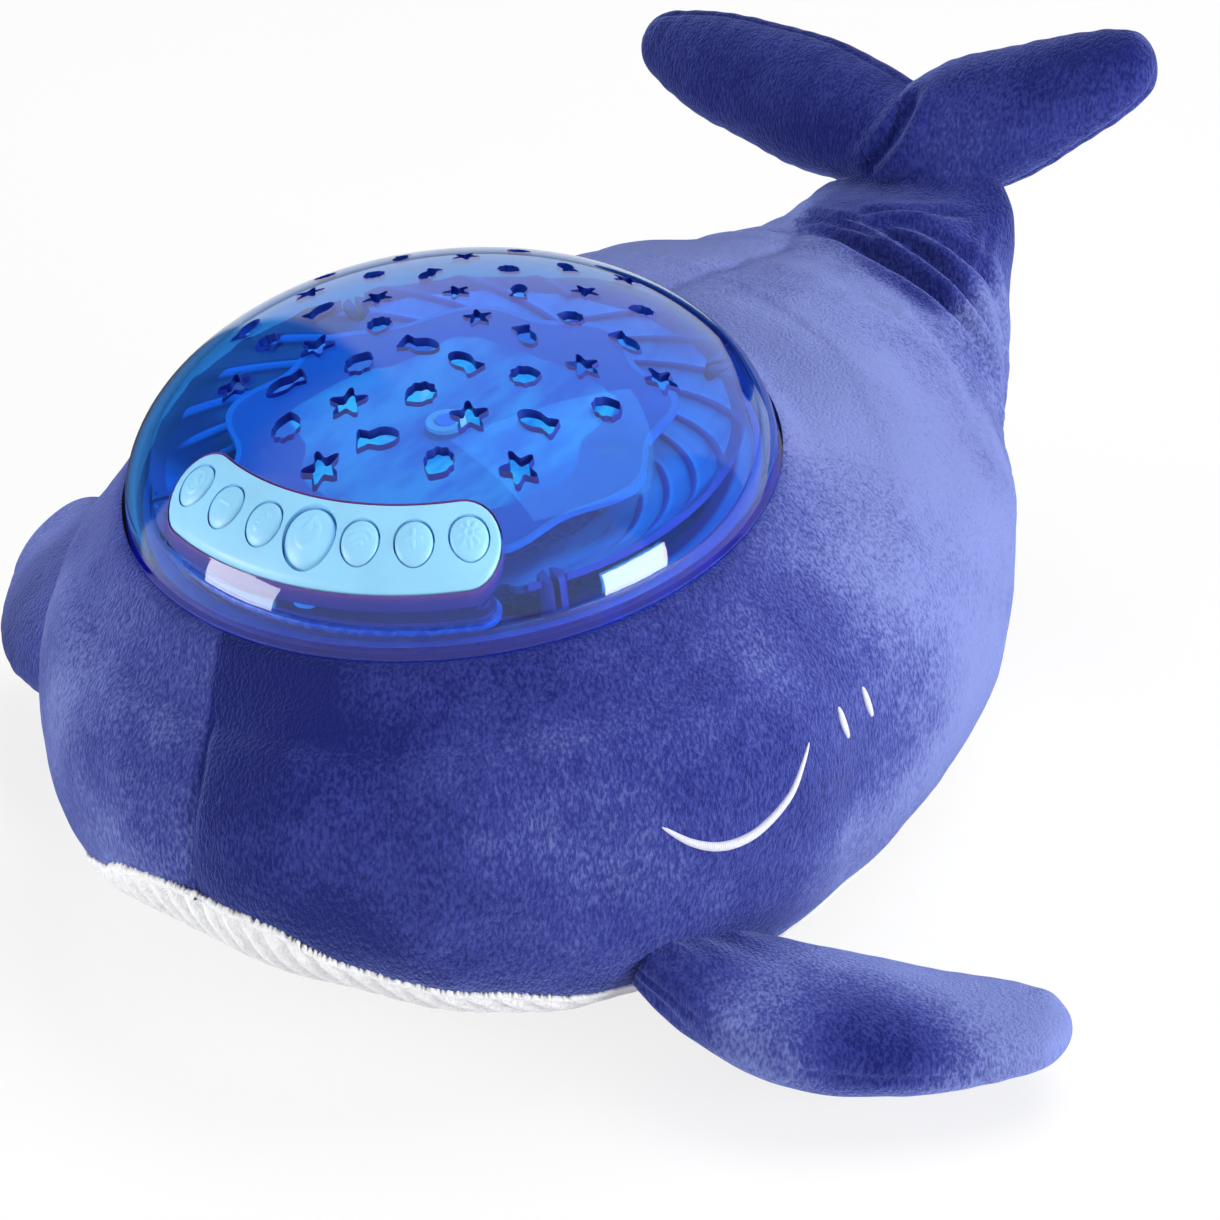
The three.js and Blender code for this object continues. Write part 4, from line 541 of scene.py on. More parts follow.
def reflector():
    """Azure plastic with violet ribs and a violet rim, told apart by the numbers of the map. On the right
    side of the toy it is painted navy as shade, with less coat, and its ribs are azure there."""
    f = Finish("ribbed_reflector", ior=1.47, coat_roughness=0.08, roughness=0.25)
    rim, rib, _ = f.axes("UV")
    x, y, _ = f.axes()
    x, y = x + 0.062, y + 0.004
    # painted shade: a navy patch on the toy's right side, with azure ribs, a dark rim and less coat there
    deep = 1 - (x * x + y * y).ease(0.0009, 0.0021)
    flow = f.noise(f.place((1, 0.4, 1), (0, 0, 0.6)), 55, 3, 0.6).ease(0.32, 0.68)
    base = f.mix(deep, f.mix(flow, (0.08, 0.2, 0.65), (0.3, 0.55, 0.95)), (0.015, 0.012, 0.2))
    ribs = f.mix(deep, (0.3, 0.07, 0.45), (0.1, 0.36, 0.85))
    ribbed = f.mix(rib.ease(0.25, 0.75), base, ribs)
    edge = f.mix(deep, (0.4, 0.09, 0.42), (0.02, 0.01, 0.16))
    return f.wear(base_color=f.mix(rim.ease(0.3, 0.7), ribbed, edge), coat_weight=deep * -0.45 + 0.5,
                  normal=f.bump(flow, 0.0001, 0.3))


def cut_edge():
    """Frosted walls of the cut-outs: deep blue, a little paler where the moulding flowed."""
    f = Finish("cut_edge", roughness=0.35, specular_ior_level=0.4)
    flow = f.noise(f.place(), 120, 2, 0.5)
    return f.wear(base_color=f.mix(flow.ease(0.35, 0.75), (0.012, 0.02, 0.26), (0.02, 0.06, 0.4)))


def clamp_plastic():
    """Violet inner edge and posts; azure outwards, told by the distance from the dome's middle."""
    f = Finish("clamp_plastic", coat_weight=0.4, coat_roughness=0.15, roughness=0.3)
    x, y, z = f.axes()
    flow = f.noise(f.place((1, 0.4, 1)), 60, 3, 0.6)
    azure = f.mix(flow.ease(0.3, 0.7), (0.18, 0.48, 0.9), (0.3, 0.66, 0.97))
    level = x * UNIT_UP[0] + y * UNIT_UP[1] + z * UNIT_UP[2] - UNIT_PLACE @ UNIT_UP * MM
    outwards = (x * x + y * y).ease(0.00405, 0.00425) * (1 - level.ease(0.0001, 0.0005))
    return f.wear(base_color=f.mix(outwards, (0.42, 0.08, 0.36), azure), normal=f.bump(flow, 0.0001, 0.3))


def wave_plate():
    """Clear plate: azure in the middle, with paler blotches and streaks of painted light; greyer outside a wavy line,
    as painted shade; a bright bead at its edge, painted paler as its highlight.
    """
    f = Finish("wave_plate", ior=1.47, coat_weight=0.6, coat_roughness=0.05, roughness=0.12)
    share, turn, _ = f.axes("UV")
    flow = f.noise(f.place((1, 0.5, 1), (0, 0, 0.4)), 50, 3, 0.6)
    streaks = f.noise(f.place((1, 0.35, 1), (0, 0, 0.9)), 110, 3, 0.55)
    # painted light: paler blotches and streaks in the azure middle
    azure = f.mix((flow * 0.5 + streaks * 0.5).ease(0.38, 0.6), (0.01, 0.28, 0.74), (0.14, 0.74, 0.96))
    # painted shade: greyer outside a wavy line
    outside = ((turn * 5).wave() * 0.05 + flow * 0.16 + share).ease(0.77, 0.79)
    plate = f.mix(outside, azure, (0.12, 0.2, 0.62))
    # painted highlight: a paler colour along the edge bead
    edge = share.ease(0.968, 0.978)
    return f.wear(base_color=f.mix(edge, plate, (0.12, 0.34, 0.76)), alpha=edge * 0.2 + 0.7)


def white_floor():
    """Plain matt paper; part of it is shown as white to the camera, so that the shadow stays soft."""
    f = Finish("pale_floor", roughness=0.9, specular_ior_level=0.1)
    mottle = f.noise(f.place(), 6, 3, 0.6)
    f.wear(base_color=f.mix(mottle.ease(0.3, 0.7), (0.93, 0.93, 0.93), (0.95, 0.95, 0.95)))
    path = f.node("ShaderNodeLightPath").socket.node.outputs
    x, y, _ = f.axes()
    start, end, _ = GAPS[0]
    after = (x * math.cos(start) + y * math.sin(start)).ease(-0.02, 0.02)
    before = (x * -math.cos(end) + y * -math.sin(end)).ease(-0.02, 0.02)
    gloss = Wire(f, path["Is Glossy Ray"]) * (1 - Wire(f, path["Is Transmission Ray"]))
    dark = after * before * gloss * 0.95
    glow = f.node("ShaderNodeEmission", inputs={"Color": (1, 1, 1), "Strength": 1 - dark})
    seen = Wire(f, path["Is Camera Ray"]) * 0.78 + dark
    both = f.node("ShaderNodeMixShader", inputs={0: seen, 1: Wire(f, f.shader.outputs[0]), 2: glow})
    f.put(f.output, "Surface", both)
    return f.material


# ---- the stuffed body

def trunk_level(points):
    """1 on the trunk's surface, less inside: superellipse across, joined to a power of the length."""
    x, y, z = np.moveaxis(points - TRUNK_CENTRE, -1, 0)
    top = z > 0
    power = np.where(top, TOP_POWER, BOTTOM_POWER)
    section = (np.abs(x / TRUNK_HALF_WIDTH) ** power
               + np.abs(z / np.where(top, TRUNK_UP, TRUNK_DOWN)) ** power) ** (1 / power)
    ahead = y > 0
    run = np.where(ahead, BACK_POWER, FRONT_POWER)
    return (section ** run + np.abs(y / np.where(ahead, TRUNK_BACK, TRUNK_FRONT)) ** run) ** (1 / run)


def trunk_reach(centres, ways):
    """How far along each way from a centre the trunk's surface lies, found by halving; 0 if it is missed."""
    tries = np.linspace(0, 190, 77)
    inside = np.stack([trunk_level(centres + t * ways) < 1 for t in tries])
    last = (inside * np.arange(1, len(tries) + 1)[(slice(None),) + (None,) * (inside.ndim - 1)]).max(0)
    low = tries[np.maximum(last - 1, 0)]
    high = low + tries[1]
    for _ in range(16):
        middle = (low + high) / 2
        within = trunk_level(centres + middle[..., None] * ways) < 1
        low, high = np.where(within, middle, low), np.where(within, high, middle)
    return np.where(last > 0, low, 0)


def trunk_girth(y):
    """Share of the trunk's full width and height at a place along it."""
    t = y - TRUNK_CENTRE[1]
    back = t > 0
    power = np.where(back, BACK_POWER, FRONT_POWER)
    share = np.abs(t / np.where(back, TRUNK_BACK, TRUNK_FRONT)) ** power
    return np.maximum(1 - share, 0) ** (1 / power)


def seam_height(y):
    """Height of the belly seam along the body."""
    places = np.linspace(0, 1, 200)
    line = along(SEAM_LINE, places)
    return np.interp(y, line[:, 0], line[:, 1])


def unit_place(points):
    """Distance from the light unit's axis and height over its rim plane."""
    away = points - UNIT_PLACE
    height = away @ UNIT_UP
    flat = away - height[..., None] * UNIT_UP
    return np.linalg.norm(flat, axis=-1), height


def stuffing(points):
    """Lumps of the filling under the cloth."""
    return (0.8 * swell(points, 62, 3) + 0.32 * swell(points, 27, 5) + 0.1 * swell(points, 11, 7)) * settings().lumps


def body_lines():
    """Middles, side ways and up ways of the body's rings, with the tail's half width and thickness."""
    nose = TRUNK_CENTRE[1] - TRUNK_FRONT * np.cos(np.linspace(0.02, math.pi / 2, 74))
    waist = np.linspace(nose[-1], 88, 46)[1:-1]
    y = np.concatenate([nose, waist])
    lift = ease(y, 40, 88)
    front = np.stack([1 + lift, y, TRUNK_CENTRE[2] + 11.9 * lift, 72 * ease(y, 20, 88) + 1e-3,
                      50.5 - 10 * (1 - ease(y, 30, 88)) - 38 * (1 - ease(y, -10, 60)) + 1e-3], -1)
    front[:, 4] = np.maximum(front[:, 4], 1e-3)
    tail = along(TAIL_LINE, np.linspace(0, 1, 130))
    rows = np.concatenate([front, tail])
    middle = rows[:, :3]
    ahead = unit(np.gradient(tail[:, :3], axis=0))
    share = ease(np.arange(len(tail)), 0, 30)[:, None]
    ahead = np.concatenate([np.repeat(FORWARD[None], len(front), 0), unit(FORWARD * (1 - share) + ahead * share)])
    roll = FLUKE_ROLL * ease(rows[:, 1], 150, 192)[:, None]
    side = np.cos(roll) * np.array([1.0, 0, 0]) + np.sin(roll) * np.array([0, 0, 1.0])
    side = unit(side - (side * ahead).sum(-1, keepdims=True) * ahead)
    upright = rows[:, 1] > 150
    half_width = rows[:, 3] * (1 - 0.42 * ease(rows[:, 2], 104, 121) * upright)
    half_thick = rows[:, 4] * (1 - 0.52 * ease(rows[:, 2], 97, 109) * upright)
    return middle, side, np.cross(side, ahead), ahead, half_width, half_thick


def body_rings():
    """Rings round the body's middle line: each point lies where the larger of trunk and tail does."""
    middle, side, up, ahead, half_width, half_thick = body_lines()
    dense = np.linspace(0, TAU, 4001)
    weight = 1 + 3.2 * bell(dense - math.pi / 2, 0.09)
    total = np.concatenate([[0], np.cumsum((weight[1:] + weight[:-1]) / 2)])
    angle = np.interp(np.linspace(0, total[-1], 211)[:-1], total, dense)
    ways = side[:, None] * np.cos(angle)[None, :, None] + up[:, None] * np.sin(angle)[None, :, None]
    trunk = trunk_reach(middle[:, None] + 0 * ways, ways)
    tail = (np.abs(np.cos(angle) / half_width[:, None]) ** TAIL_POWER
            + np.abs(np.sin(angle) / half_thick[:, None]) ** TAIL_POWER) ** (-1 / TAIL_POWER)
    reach = np.where(trunk > 0, soft_max(trunk, tail, 5 * ease(middle[:, 1], 55, 85)[:, None]), tail)
    reach = np.where((middle[:, 1] < 55)[:, None], trunk, reach)
    rings = middle[:, None] + reach[..., None] * ways
    end = np.linspace(0.15, 0.96, 7)
    tip = rings[-1] - middle[-1]
    cap = [middle[-1] + tip * math.sqrt(1 - t * t) + ahead[-1] * 3 * t for t in end]
    return np.concatenate([rings, np.stack(cap)]), angle


def normals_of(rings):
    """Outward ways of a closed grid: the cross product of its two slopes."""
    run = np.gradient(rings, axis=0)
    wrapped = np.concatenate([rings[:, -1:], rings, rings[:, :1]], 1)
    across = wrapped[:, 2:] - wrapped[:, :-2]
    ways = unit(np.cross(across, run))
    outwards = np.sign(((rings - rings.mean(1, keepdims=True)) * ways).sum(-1).mean())
    return ways * outwards


def seam_middle(y):
    """Where the seam along the top runs: from the nose over the brow, under the dome and down the back."""
    return np.interp(y, [-99, -94, -80.6, -72, 70, 94, 111, 140, 153], [2.2, 1.8, -3.7, -6, 0, 1, 3.3, -3.2, -6.8])


def painted_light_and_shade_at(points):
    """Painted light and shade on the pile, with how it lies: above 0 is painted light, where it faces the lamps; below
    0 is painted shade, where it lies away from them.
    """
    x, y, z = np.moveaxis(points, -1, 0)
    radius, _ = unit_place(points)
    off = x - seam_middle(y)
    # painted shade: the brow on the whale's left of the nose seam, towards the front
    brow = ease(off, -0.5, 0.5) * (1 - ease(off, 10, 60)) * (1 - ease(y, -85, -35))
    # painted light: the low sides and the back, up to the tail
    low_side = 0.5 * ease(y + 0.9 * (55 - z), -4, 22) * (1 - ease(z, 44, 68))
    back = np.maximum(ease(y, -8, 62), low_side) * (1 - ease(y + 0.35 * x, 146, 158))
    # painted light on the tail's sides (lit); painted shade on the rest of the tail, the stock's front and the flukes,
    # a little less on the whale's left (dark_tail)
    lit = np.maximum(1 - ease(x, -14, -4), ease(x, 36, 44)) * (1 - ease(z, 104, 110))
    tail = ease(y + 0.35 * np.abs(x), 148, 160)
    # painted light on the near fin, the whale's left; painted shade on the far fin
    fins = ease(np.abs(x), 96, 112) * (1 - ease(z, 40, 60)) * (1 - ease(y, 40, 60))
    # painted shade: a patch low on the near fin
    under = bell(np.linalg.norm((points - np.array([133.0, -32, 25])) / [19, 12, 14], axis=-1), 1.0)
    # painted shade: the front of the head, more on the whale's left of the seam
    front = 1 - ease(y, -82, -45)
    # painted light: the cheek behind the eye
    cheek = ease(x, 55, 84) * (1 - ease(y, -20, 30)) * ease(z, 28, 55) * (1 - ease(x, 96, 108))
    dark_tail = -0.3 + 0.17 * ease(x, -20, 15)
    nap = 0.72 * back - 0.26 * brow + tail * (0.4 * lit + dark_tail * (1 - lit)) + fins * (0.38 - 0.64 * (x < 0))
    nap = nap - 0.6 * under * (x > 95) - front * np.where(off < 0, 0.03, 0.11) + 0.12 * cheek
    # painted shadow: a band below the dome's rim; painted highlight: a band on the ridge outside the crease there
    near_dome = (z > 80) * (1 - ease(y, -40, -5))
    nap = nap - 0.08 * (1 - ease(radius, 85.5, 88.5)) * near_dome + 0.05 * bell(radius - 91.5, 3) * near_dome
    return nap + 0.1 * swell(points, 46, 31)


def comb(piece):
    """Stores at each vertex the painted light and shade of the pile, with how it lies, and the distance from the seam
    along the top, in mm.
    """
    mesh = piece.data
    points = np.empty(len(mesh.vertices) * 3, np.float32)
    mesh.vertices.foreach_get("co", points)
    points = points.reshape(-1, 3).astype(float) / MM
    for name, values in (("nap", painted_light_and_shade_at(points)), ("off_seam", points[:, 0] - seam_middle(points[:, 1]))):
        mesh.attributes.new(name, "FLOAT", "POINT").data.foreach_set("value", values.astype(np.float32))


def crease(points, line, depth, width):
    """Groove along a curve with a ridge on both sides: its depth dies away at the ends of the curve."""
    places = np.linspace(0, 1, 80)
    nearest, where = np.full(points.shape[:-1], 1e9), np.zeros(points.shape[:-1])
    for place, at in zip(places, along(line, places)):
        away = np.linalg.norm(points - at, axis=-1)
        where = np.where(away < nearest, place, where)
        nearest = np.minimum(away, nearest)
    fade = ease(where, -0.05, 0.2) * (1 - ease(where, 0.72, 1.02))
    return -depth * fade * (bell(nearest, width) - 0.6 * bell(nearest - 2.3 * width, 1.5 * width))


def tail_folds(points):
    """Folds where the tail bends up, the gathers beside them, and the seams of the stock."""
    depth = sum(crease(points, line, deep, wide) for deep, wide, line in FOLDS)
    return depth * settings().folds


def body_relief(points):
    """Inward grooves of the seams and folds, outward lumps of the filling, in mm."""
    x, y, z = np.moveaxis(points, -1, 0)
    upper = ease(z - np.interp(y, [-100, 88, 158, 190, 200], [48, 68, 76, 100, 120]), 0, 6)
    radius, height = unit_place(points)
    off = x - seam_middle(y)
    groove = -1.0 * bell(off, 1.3) - 0.8 * bell(off, 6)
    relief = groove * upper * (1 - ease(y, 150, 156)) * (radius > 76)
    ring = 0.4 * bell(radius - 92, 3.5) - 0.9 * bell(radius - 87.5, 2.2)
    relief = relief + ring * (height < 0) * (1 - ease(y, -35, 5))
    relief = relief + tail_folds(points)
    dimple = sum(-a * bell(np.linalg.norm(points - np.array(at), axis=-1), w)
                 for at, a, w in [((78, 62, 92), 1.4, 12), ((84, 40, 86), 1.1, 10), ((88, 82, 66), 1.4, 13),
                                  ((70, 96, 88), 1.2, 10), ((40, -76, 84), 0.9, 13), ((-42, -74, 84), 0.8, 12)])
    return relief + dimple + stuffing(points) * ease(z, 2, 26)


def body_surface():
    """The body's rings with relief, raised to the dome's rim round the light unit and inset under the belly."""
    rings, angle = body_rings()
    relief = body_relief(rings)
    rings = rings + relief[..., None] * normals_of(rings)
    radius, height = unit_place(rings)
    edge = np.interp(radius, COLLAR[:, 0], COLLAR[:, 1])
    lid = np.interp(radius, [0, 75.0, 77.5, 81, 90, 100], [0.6, 0.6, 0.7, 1.6, 6, 14])
    raised = -soft_max(-(soft_max(height, edge, 2.2) - 0.7), -lid, 1.2)
    near = (rings[..., 2] > 70) & (radius < 99)
    rings = rings + np.where(near, raised - height, 0)[..., None] * UNIT_UP
    below = ease(seam_height(rings[..., 1]) - rings[..., 2], -0.5, 3.0) * (rings[..., 1] < 152)
    inward = rings - np.array([TRUNK_CENTRE[0], 0, TRUNK_CENTRE[2]])
    inward[..., 1] = np.minimum(rings[..., 1] + 60, 0) * 0.6
    inset = 2.0 + 1.4 * ease(rings[..., 1], 50, 115)
    rings = rings - (inset * below)[..., None] * unit(inward)
    rings[..., 2] = np.maximum(rings[..., 2], 1.8)
    return rings, angle


def belly_angles(y, count):
    """Angles from straight down between the two seams, for rows at places along the body."""
    girth = trunk_girth(y)
    drop = np.clip((TRUNK_CENTRE[2] - seam_height(y)) / (girth * TRUNK_DOWN), 0, 0.9999)
    width = (1 - drop ** BOTTOM_POWER) ** (1 / BOTTOM_POWER)
    edge = np.arctan2(width * TRUNK_HALF_WIDTH, drop * TRUNK_DOWN)
    return edge[:, None] * np.linspace(-1, 1, count)


def belly_point(y, angle, out=0.0):
    """Point of the trunk's underside: polar radius of its superellipse, moved outwards."""
    girth = trunk_girth(y)[:, None]
    s, c = np.sin(angle), np.cos(angle)
    reach = girth * (np.abs(s / TRUNK_HALF_WIDTH) ** BOTTOM_POWER
                     + np.abs(c / TRUNK_DOWN) ** BOTTOM_POWER) ** (-1 / BOTTOM_POWER) + out
    return np.stack([TRUNK_CENTRE[0] + reach * s, y[:, None] + 0 * s, TRUNK_CENTRE[2] - reach * c], -1)


def belly_surface(rows=150, columns=250):
    """Underside between the seams with lengthwise ribs, and an inner side under it.
    The ribs follow the length of cloth from the middle: height = depth |cos(pi s / pitch)|^0.7."""
    s = settings()
    share = np.linspace(0, 1, rows)
    y = -98.6 + (143.5 + 98.6) * (1 - np.cos(math.pi * share)) / 2
    angle = belly_angles(y, columns)
    base = belly_point(y, angle)
    base = base + (stuffing(base) * ease(base[..., 2], 2, 26))[..., None] * unit(base - TRUNK_CENTRE)
    steps = np.linalg.norm(np.diff(base, axis=1), axis=-1)
    cloth = np.concatenate([np.zeros((rows, 1)), np.cumsum(steps, 1)], 1)
    from_seam = np.minimum(cloth, cloth[:, -1:] - cloth)
    cloth = cloth - cloth[:, -1:] / 2
    ribs = np.abs(np.cos(math.pi * cloth / s.rib_pitch)) ** 0.8 - 0.7
    at_rest = 1 - ease(base[..., 2], 1.0, 7.0)
    side = ease(y, -66, -34)[:, None]
    out = (s.rib_depth * ribs + 1.0 - 1.3 * side) * (1 - at_rest)
    edge = 1 - ease(from_seam, 0, 3.2)
    ends = 1 - ease(np.minimum(y + 98.6, 143.5 - y), 0, 2.5)[:, None]
    out = out - 0.5 * np.maximum(edge, ends)
    run = np.gradient(base, axis=0)
    across = np.gradient(base, axis=1)
    ways = unit(np.cross(run, across))
    ways = ways * np.where(ways[..., 2:] > 0, -1, 1)
    outer = base + out[..., None] * ways
    inner = base - 1.9 * ways
    outer[..., 2] = np.maximum(outer[..., 2], 0.0)
    inner[..., 2] = np.maximum(inner[..., 2], 1.5)
    return outer, inner, y


def sheet_rings(outer, inner):
    """Two grids laid back to back as closed rings: out along one, back along the other."""
    rings = np.concatenate([outer, inner[:, ::-1]], axis=1)
    return np.concatenate([pole_pairs(rings[0])[None], rings, pole_pairs(rings[-1])[None]])


def pole_pairs(ring):
    """A ring folded flat: each point and its partner on the other side meet at their middle."""
    return (ring + ring[::-1]) / 2


def limb_rings(spine, across, half_widths, half_thicks, pinch, gathers, seam, folds, seed, rows=120, sides=110):
    """Rings of a stuffed limb: superellipses on a curve that ends in a round tip: sqrt(1 - t^2).
    They are pinched along the seam round the edge, which may lie beside it; puckers run off it, and
    gathers off the root."""
    table = np.concatenate([np.asarray(spine, float), np.asarray(half_widths, float)[:, None],
                            np.asarray(half_thicks, float)[:, None]], 1)
    tip_turn = np.linspace(0, math.pi / 2 - 0.06, rows // 3)
    places = np.concatenate([np.linspace(0, TIP_START, rows)[:-1], TIP_START + (1 - TIP_START) * np.sin(tip_turn)])
    values = along(table, places)
    round_off = np.concatenate([np.ones(rows - 1), np.cos(tip_turn)])
    middle, wide, thick = values[:, :3], values[:, 3] * round_off, values[:, 4] * round_off
    ahead = unit(np.gradient(middle, axis=0))
    side = unit(np.asarray(across, float) - (ahead @ np.asarray(across, float))[:, None] * ahead)
    up = np.cross(ahead, side)
    angle = np.arange(sides) * TAU / sides
    c, s = signed_power(np.cos(angle), 2 / LIMB_POWER), signed_power(np.sin(angle), 2 / LIMB_POWER)
    rings = (middle[:, None] + side[:, None] * (wide[:, None] * c)[..., None]
             + up[:, None] * (thick[:, None] * s)[..., None])
    run = np.concatenate([[0], np.cumsum(np.linalg.norm(np.diff(middle, axis=0), axis=1))])[:, None]
    height = s[None] * thick[:, None] - seam * (c > 0)
    at_seam = bell(height, 1.0)
    near_seam = bell(height, 6.0)
    draw = np.random.default_rng(seed)
    phase = draw.uniform(0, TAU, 4)
    pucker = np.cos(run * TAU / 6.3 + phase[0]) * 0.6 + np.cos(run * TAU / 9.1 + phase[1] + np.sign(c)[None]) * 0.5
    relief = (-pinch * at_seam + 0.14 * pucker * near_seam * (1 - at_seam)) * ease(wide, 2, 10)[:, None]
    pleats = np.cos(7 * angle + phase[2] + run / 9) + 0.6 * np.cos(12 * angle + phase[3] - run / 7)
    relief = relief + gathers * pleats * bell(run - 8, 15) * (1 - at_seam)
    relief = relief + stuffing(rings + 40.0 * seed) * 0.6 * ease(wide, 3, 12)[:, None]
    relief = relief + sum(crease(rings, line, deep, width) for deep, width, line in folds)
    return rings + relief[..., None] * normals_of(rings)


def fluke_spine(side, span, rises):
    """Middle line of one lobe of the fluke: out along the tail's cross line and up."""
    rise = np.interp(FLUKE_PLACES, [0, 1], rises)
    return (FLUKE_ROOT + FLUKE_ACROSS * (side * span * FLUKE_PLACES)[:, None] + FLUKE_UP * rise[:, None]
            + FORWARD * 3 * FLUKE_PLACES[:, None])


def trunk_marks(line):
    """Points given near the trunk's side, moved onto its finished surface, with the outward way there."""
    line = np.asarray(line, float)
    angle = np.arctan2(line[:, 2] - TRUNK_CENTRE[2], line[:, 0] - TRUNK_CENTRE[0])

    def skin(y, turn):
        middle = np.stack([np.full_like(y, TRUNK_CENTRE[0]), y, np.full_like(y, TRUNK_CENTRE[2])], -1)
        ways = np.stack([np.cos(turn), 0 * y, np.sin(turn)], -1)
        return middle + trunk_reach(middle, ways)[:, None] * ways

    y = line[:, 1]
    here = skin(y, angle)
    outwards = unit(np.cross(skin(y, angle + 0.01) - here, skin(y + 0.5, angle) - here))
    outwards *= np.sign((outwards * (here - TRUNK_CENTRE)).sum(-1, keepdims=True))
    return here + body_relief(here)[:, None] * outwards, outwards


def ribbon_rings(middle, outwards, half_width, height, sides=20):
    """A raised flat cord along a line: an ellipse of half width and height in each cross plane."""
    ahead = unit(np.gradient(middle, axis=0))
    side = unit(np.cross(outwards, ahead))
    angle = np.arange(sides) * TAU / sides
    return (middle[:, None] + side[:, None] * (half_width[:, None] * np.cos(angle))[..., None]
            + outwards[:, None] * (height[:, None] * np.sin(angle))[..., None])


# ---- the light unit

def dome_height(radius, out=0.0):
    """Height of the cap at a radius: H (1 - (r/R)^p)^(1/p), moved outwards by a distance."""
    share = np.minimum(radius / (DOME_RADIUS + out), 1)
    return (DOME_HEIGHT + out) * (1 - share ** DOME_POWER) ** (1 / DOME_POWER)


def dome_profile(rows=60):
    """Closed outline of the dome's wall: rim seat, rolled lip, cap outside and cap inside."""
    turn = np.linspace(0.09, math.pi / 2, rows)
    cap = [np.stack([(DOME_RADIUS + out) * np.maximum(np.cos(turn), 0) ** (2 / DOME_POWER),
                     (DOME_HEIGHT + out) * np.sin(turn) ** (2 / DOME_POWER)], -1) for out in (0, -DOME_WALL)]
    lip = [[RIM_INNER, 0], [RIM_RADIUS - 0.5, 0], [RIM_RADIUS - 0.12, 0.14], [RIM_RADIUS, 0.55],
           [RIM_RADIUS - 0.1, 1.0], [RIM_RADIUS - 0.5, 1.35], [DOME_RADIUS + 0.02, 1.7], [DOME_RADIUS, 2.4]]
    foot = [[DOME_RADIUS - DOME_WALL, RIM_THICKNESS], [RIM_INNER, RIM_THICKNESS], [RIM_INNER, 0]]
    return np.concatenate([lip, cap[0][cap[0][:, 1] > 2.6], cap[1][::-1][cap[1][::-1][:, 1] > 2.4], foot])


def fish():
    """Outline of a small fish: an ellipse whose tail end opens again."""
    a = np.linspace(0, TAU, 40, endpoint=False)
    x = np.cos(a)
    width = 0.62 * np.sin(a) * np.where(x < -0.35, 0.55 + 1.9 * (-x - 0.35), 1 - 0.25 * bell(x + 0.35, 0.3))
    return np.stack([1.1 * x, width + 0.28 * np.sign(np.sin(a)) * ease(-x, 0.72, 1.0)], -1)


def star():
    """Outline of a rounded star: radius 0.78 + 0.24 cos 5a."""
    a = np.linspace(0, TAU, 40, endpoint=False)
    r = 0.75 + 0.27 * np.cos(5 * a) + 0.05 * np.cos(10 * a)
    return np.stack([r * np.cos(a), r * np.sin(a)], -1)


def shell():
    """Outline of a scallop shell: a round fan with a small foot."""
    a = np.linspace(0, TAU, 40, endpoint=False)
    r = 0.8 + 0.06 * np.cos(9 * a) * ease(np.cos(a), -0.6, 0.0) + 0.16 * bell(np.abs(a - math.pi), 0.3)
    return np.stack([r * np.cos(a), 0.94 * r * np.sin(a)], -1)


def cutout_tools():
    """Upright prisms of the cut-outs on a sunflower spiral, clear of the keypad."""
    grids = []
    shapes = [fish(), star(), shell()]
    clear = KEY_ARC - PANEL_HALF_WIDTH - 1.6 - 4.3
    for i in range(44):
        radius, degrees = 8 * math.sqrt(i + 0.7), (i * 137.508 + 180) % 360 - 180
        if radius > 57 or (radius > clear and abs(degrees) < 31.8 + 13):
            continue
        turn = math.radians(degrees * 3)
        spin = np.array([[math.cos(turn), math.sin(turn)], [-math.sin(turn), math.cos(turn)]])
        size = 4.3 * (0.86 + 0.14 * math.cos(2.4 * i))
        outline = size * shapes[i % 3] @ spin + on_arc(radius, math.radians(degrees))[:2]
        grids.append(prism(outline, 4, 60))
    return grids


def prism(outline, low, high):
    """Closed rings of an upright prism."""
    rings = np.stack([np.concatenate([outline, np.full((len(outline), 1), z)], 1) for z in (low, high)])
    return capped(rings)


def panel_outline(half_width, arc_steps=60, end_steps=14, radius=KEY_ARC, end=PANEL_END):
    """Outline of a curved bar with round ends: arc, half turn, arc back, half turn."""
    a = np.linspace(-end, end, arc_steps)
    t = np.linspace(0, math.pi, end_steps + 2)[1:-1]

    def at(angle, r):
        return np.stack([r * np.sin(angle), -r * np.cos(angle)], -1)

    first = at(a, radius + half_width)
    centre_end = at(np.array([end]), radius)
    round_end = centre_end + half_width * np.stack([np.sin(end + t), -np.cos(end + t)], -1)
    back = at(a[::-1], radius - half_width)
    centre_start = at(np.array([-end]), radius)
    round_start = centre_start - half_width * np.stack([np.sin(-end + t), -np.cos(-end + t)], -1)
    return np.concatenate([first, round_end, back, round_start])


def panel_rings():
    """Keypad panel: nested outlines on the dome's surface, its edge rounded, and its side and underside."""
    rows = []
    for inset in np.concatenate([np.linspace(PANEL_HALF_WIDTH, 1.0, 9), np.linspace(0.8, 0, 7)]):
        outline = panel_outline(PANEL_HALF_WIDTH - inset)
        height = dome_height(np.linalg.norm(outline, axis=1), 0.4)
        drop = 0.8 * (1 - math.sqrt(1 - (1 - min(inset / 0.8, 1)) ** 2))
        rows.append(np.concatenate([outline, (height - drop)[:, None]], 1))
    for inset in np.concatenate([[0], np.linspace(1.0, PANEL_HALF_WIDTH, 6)]):
        outline = panel_outline(PANEL_HALF_WIDTH - inset)
        height = dome_height(np.linalg.norm(outline, axis=1), -DOME_WALL)
        rows.append(np.concatenate([outline, height[:, None]], 1))
    return np.stack(rows)


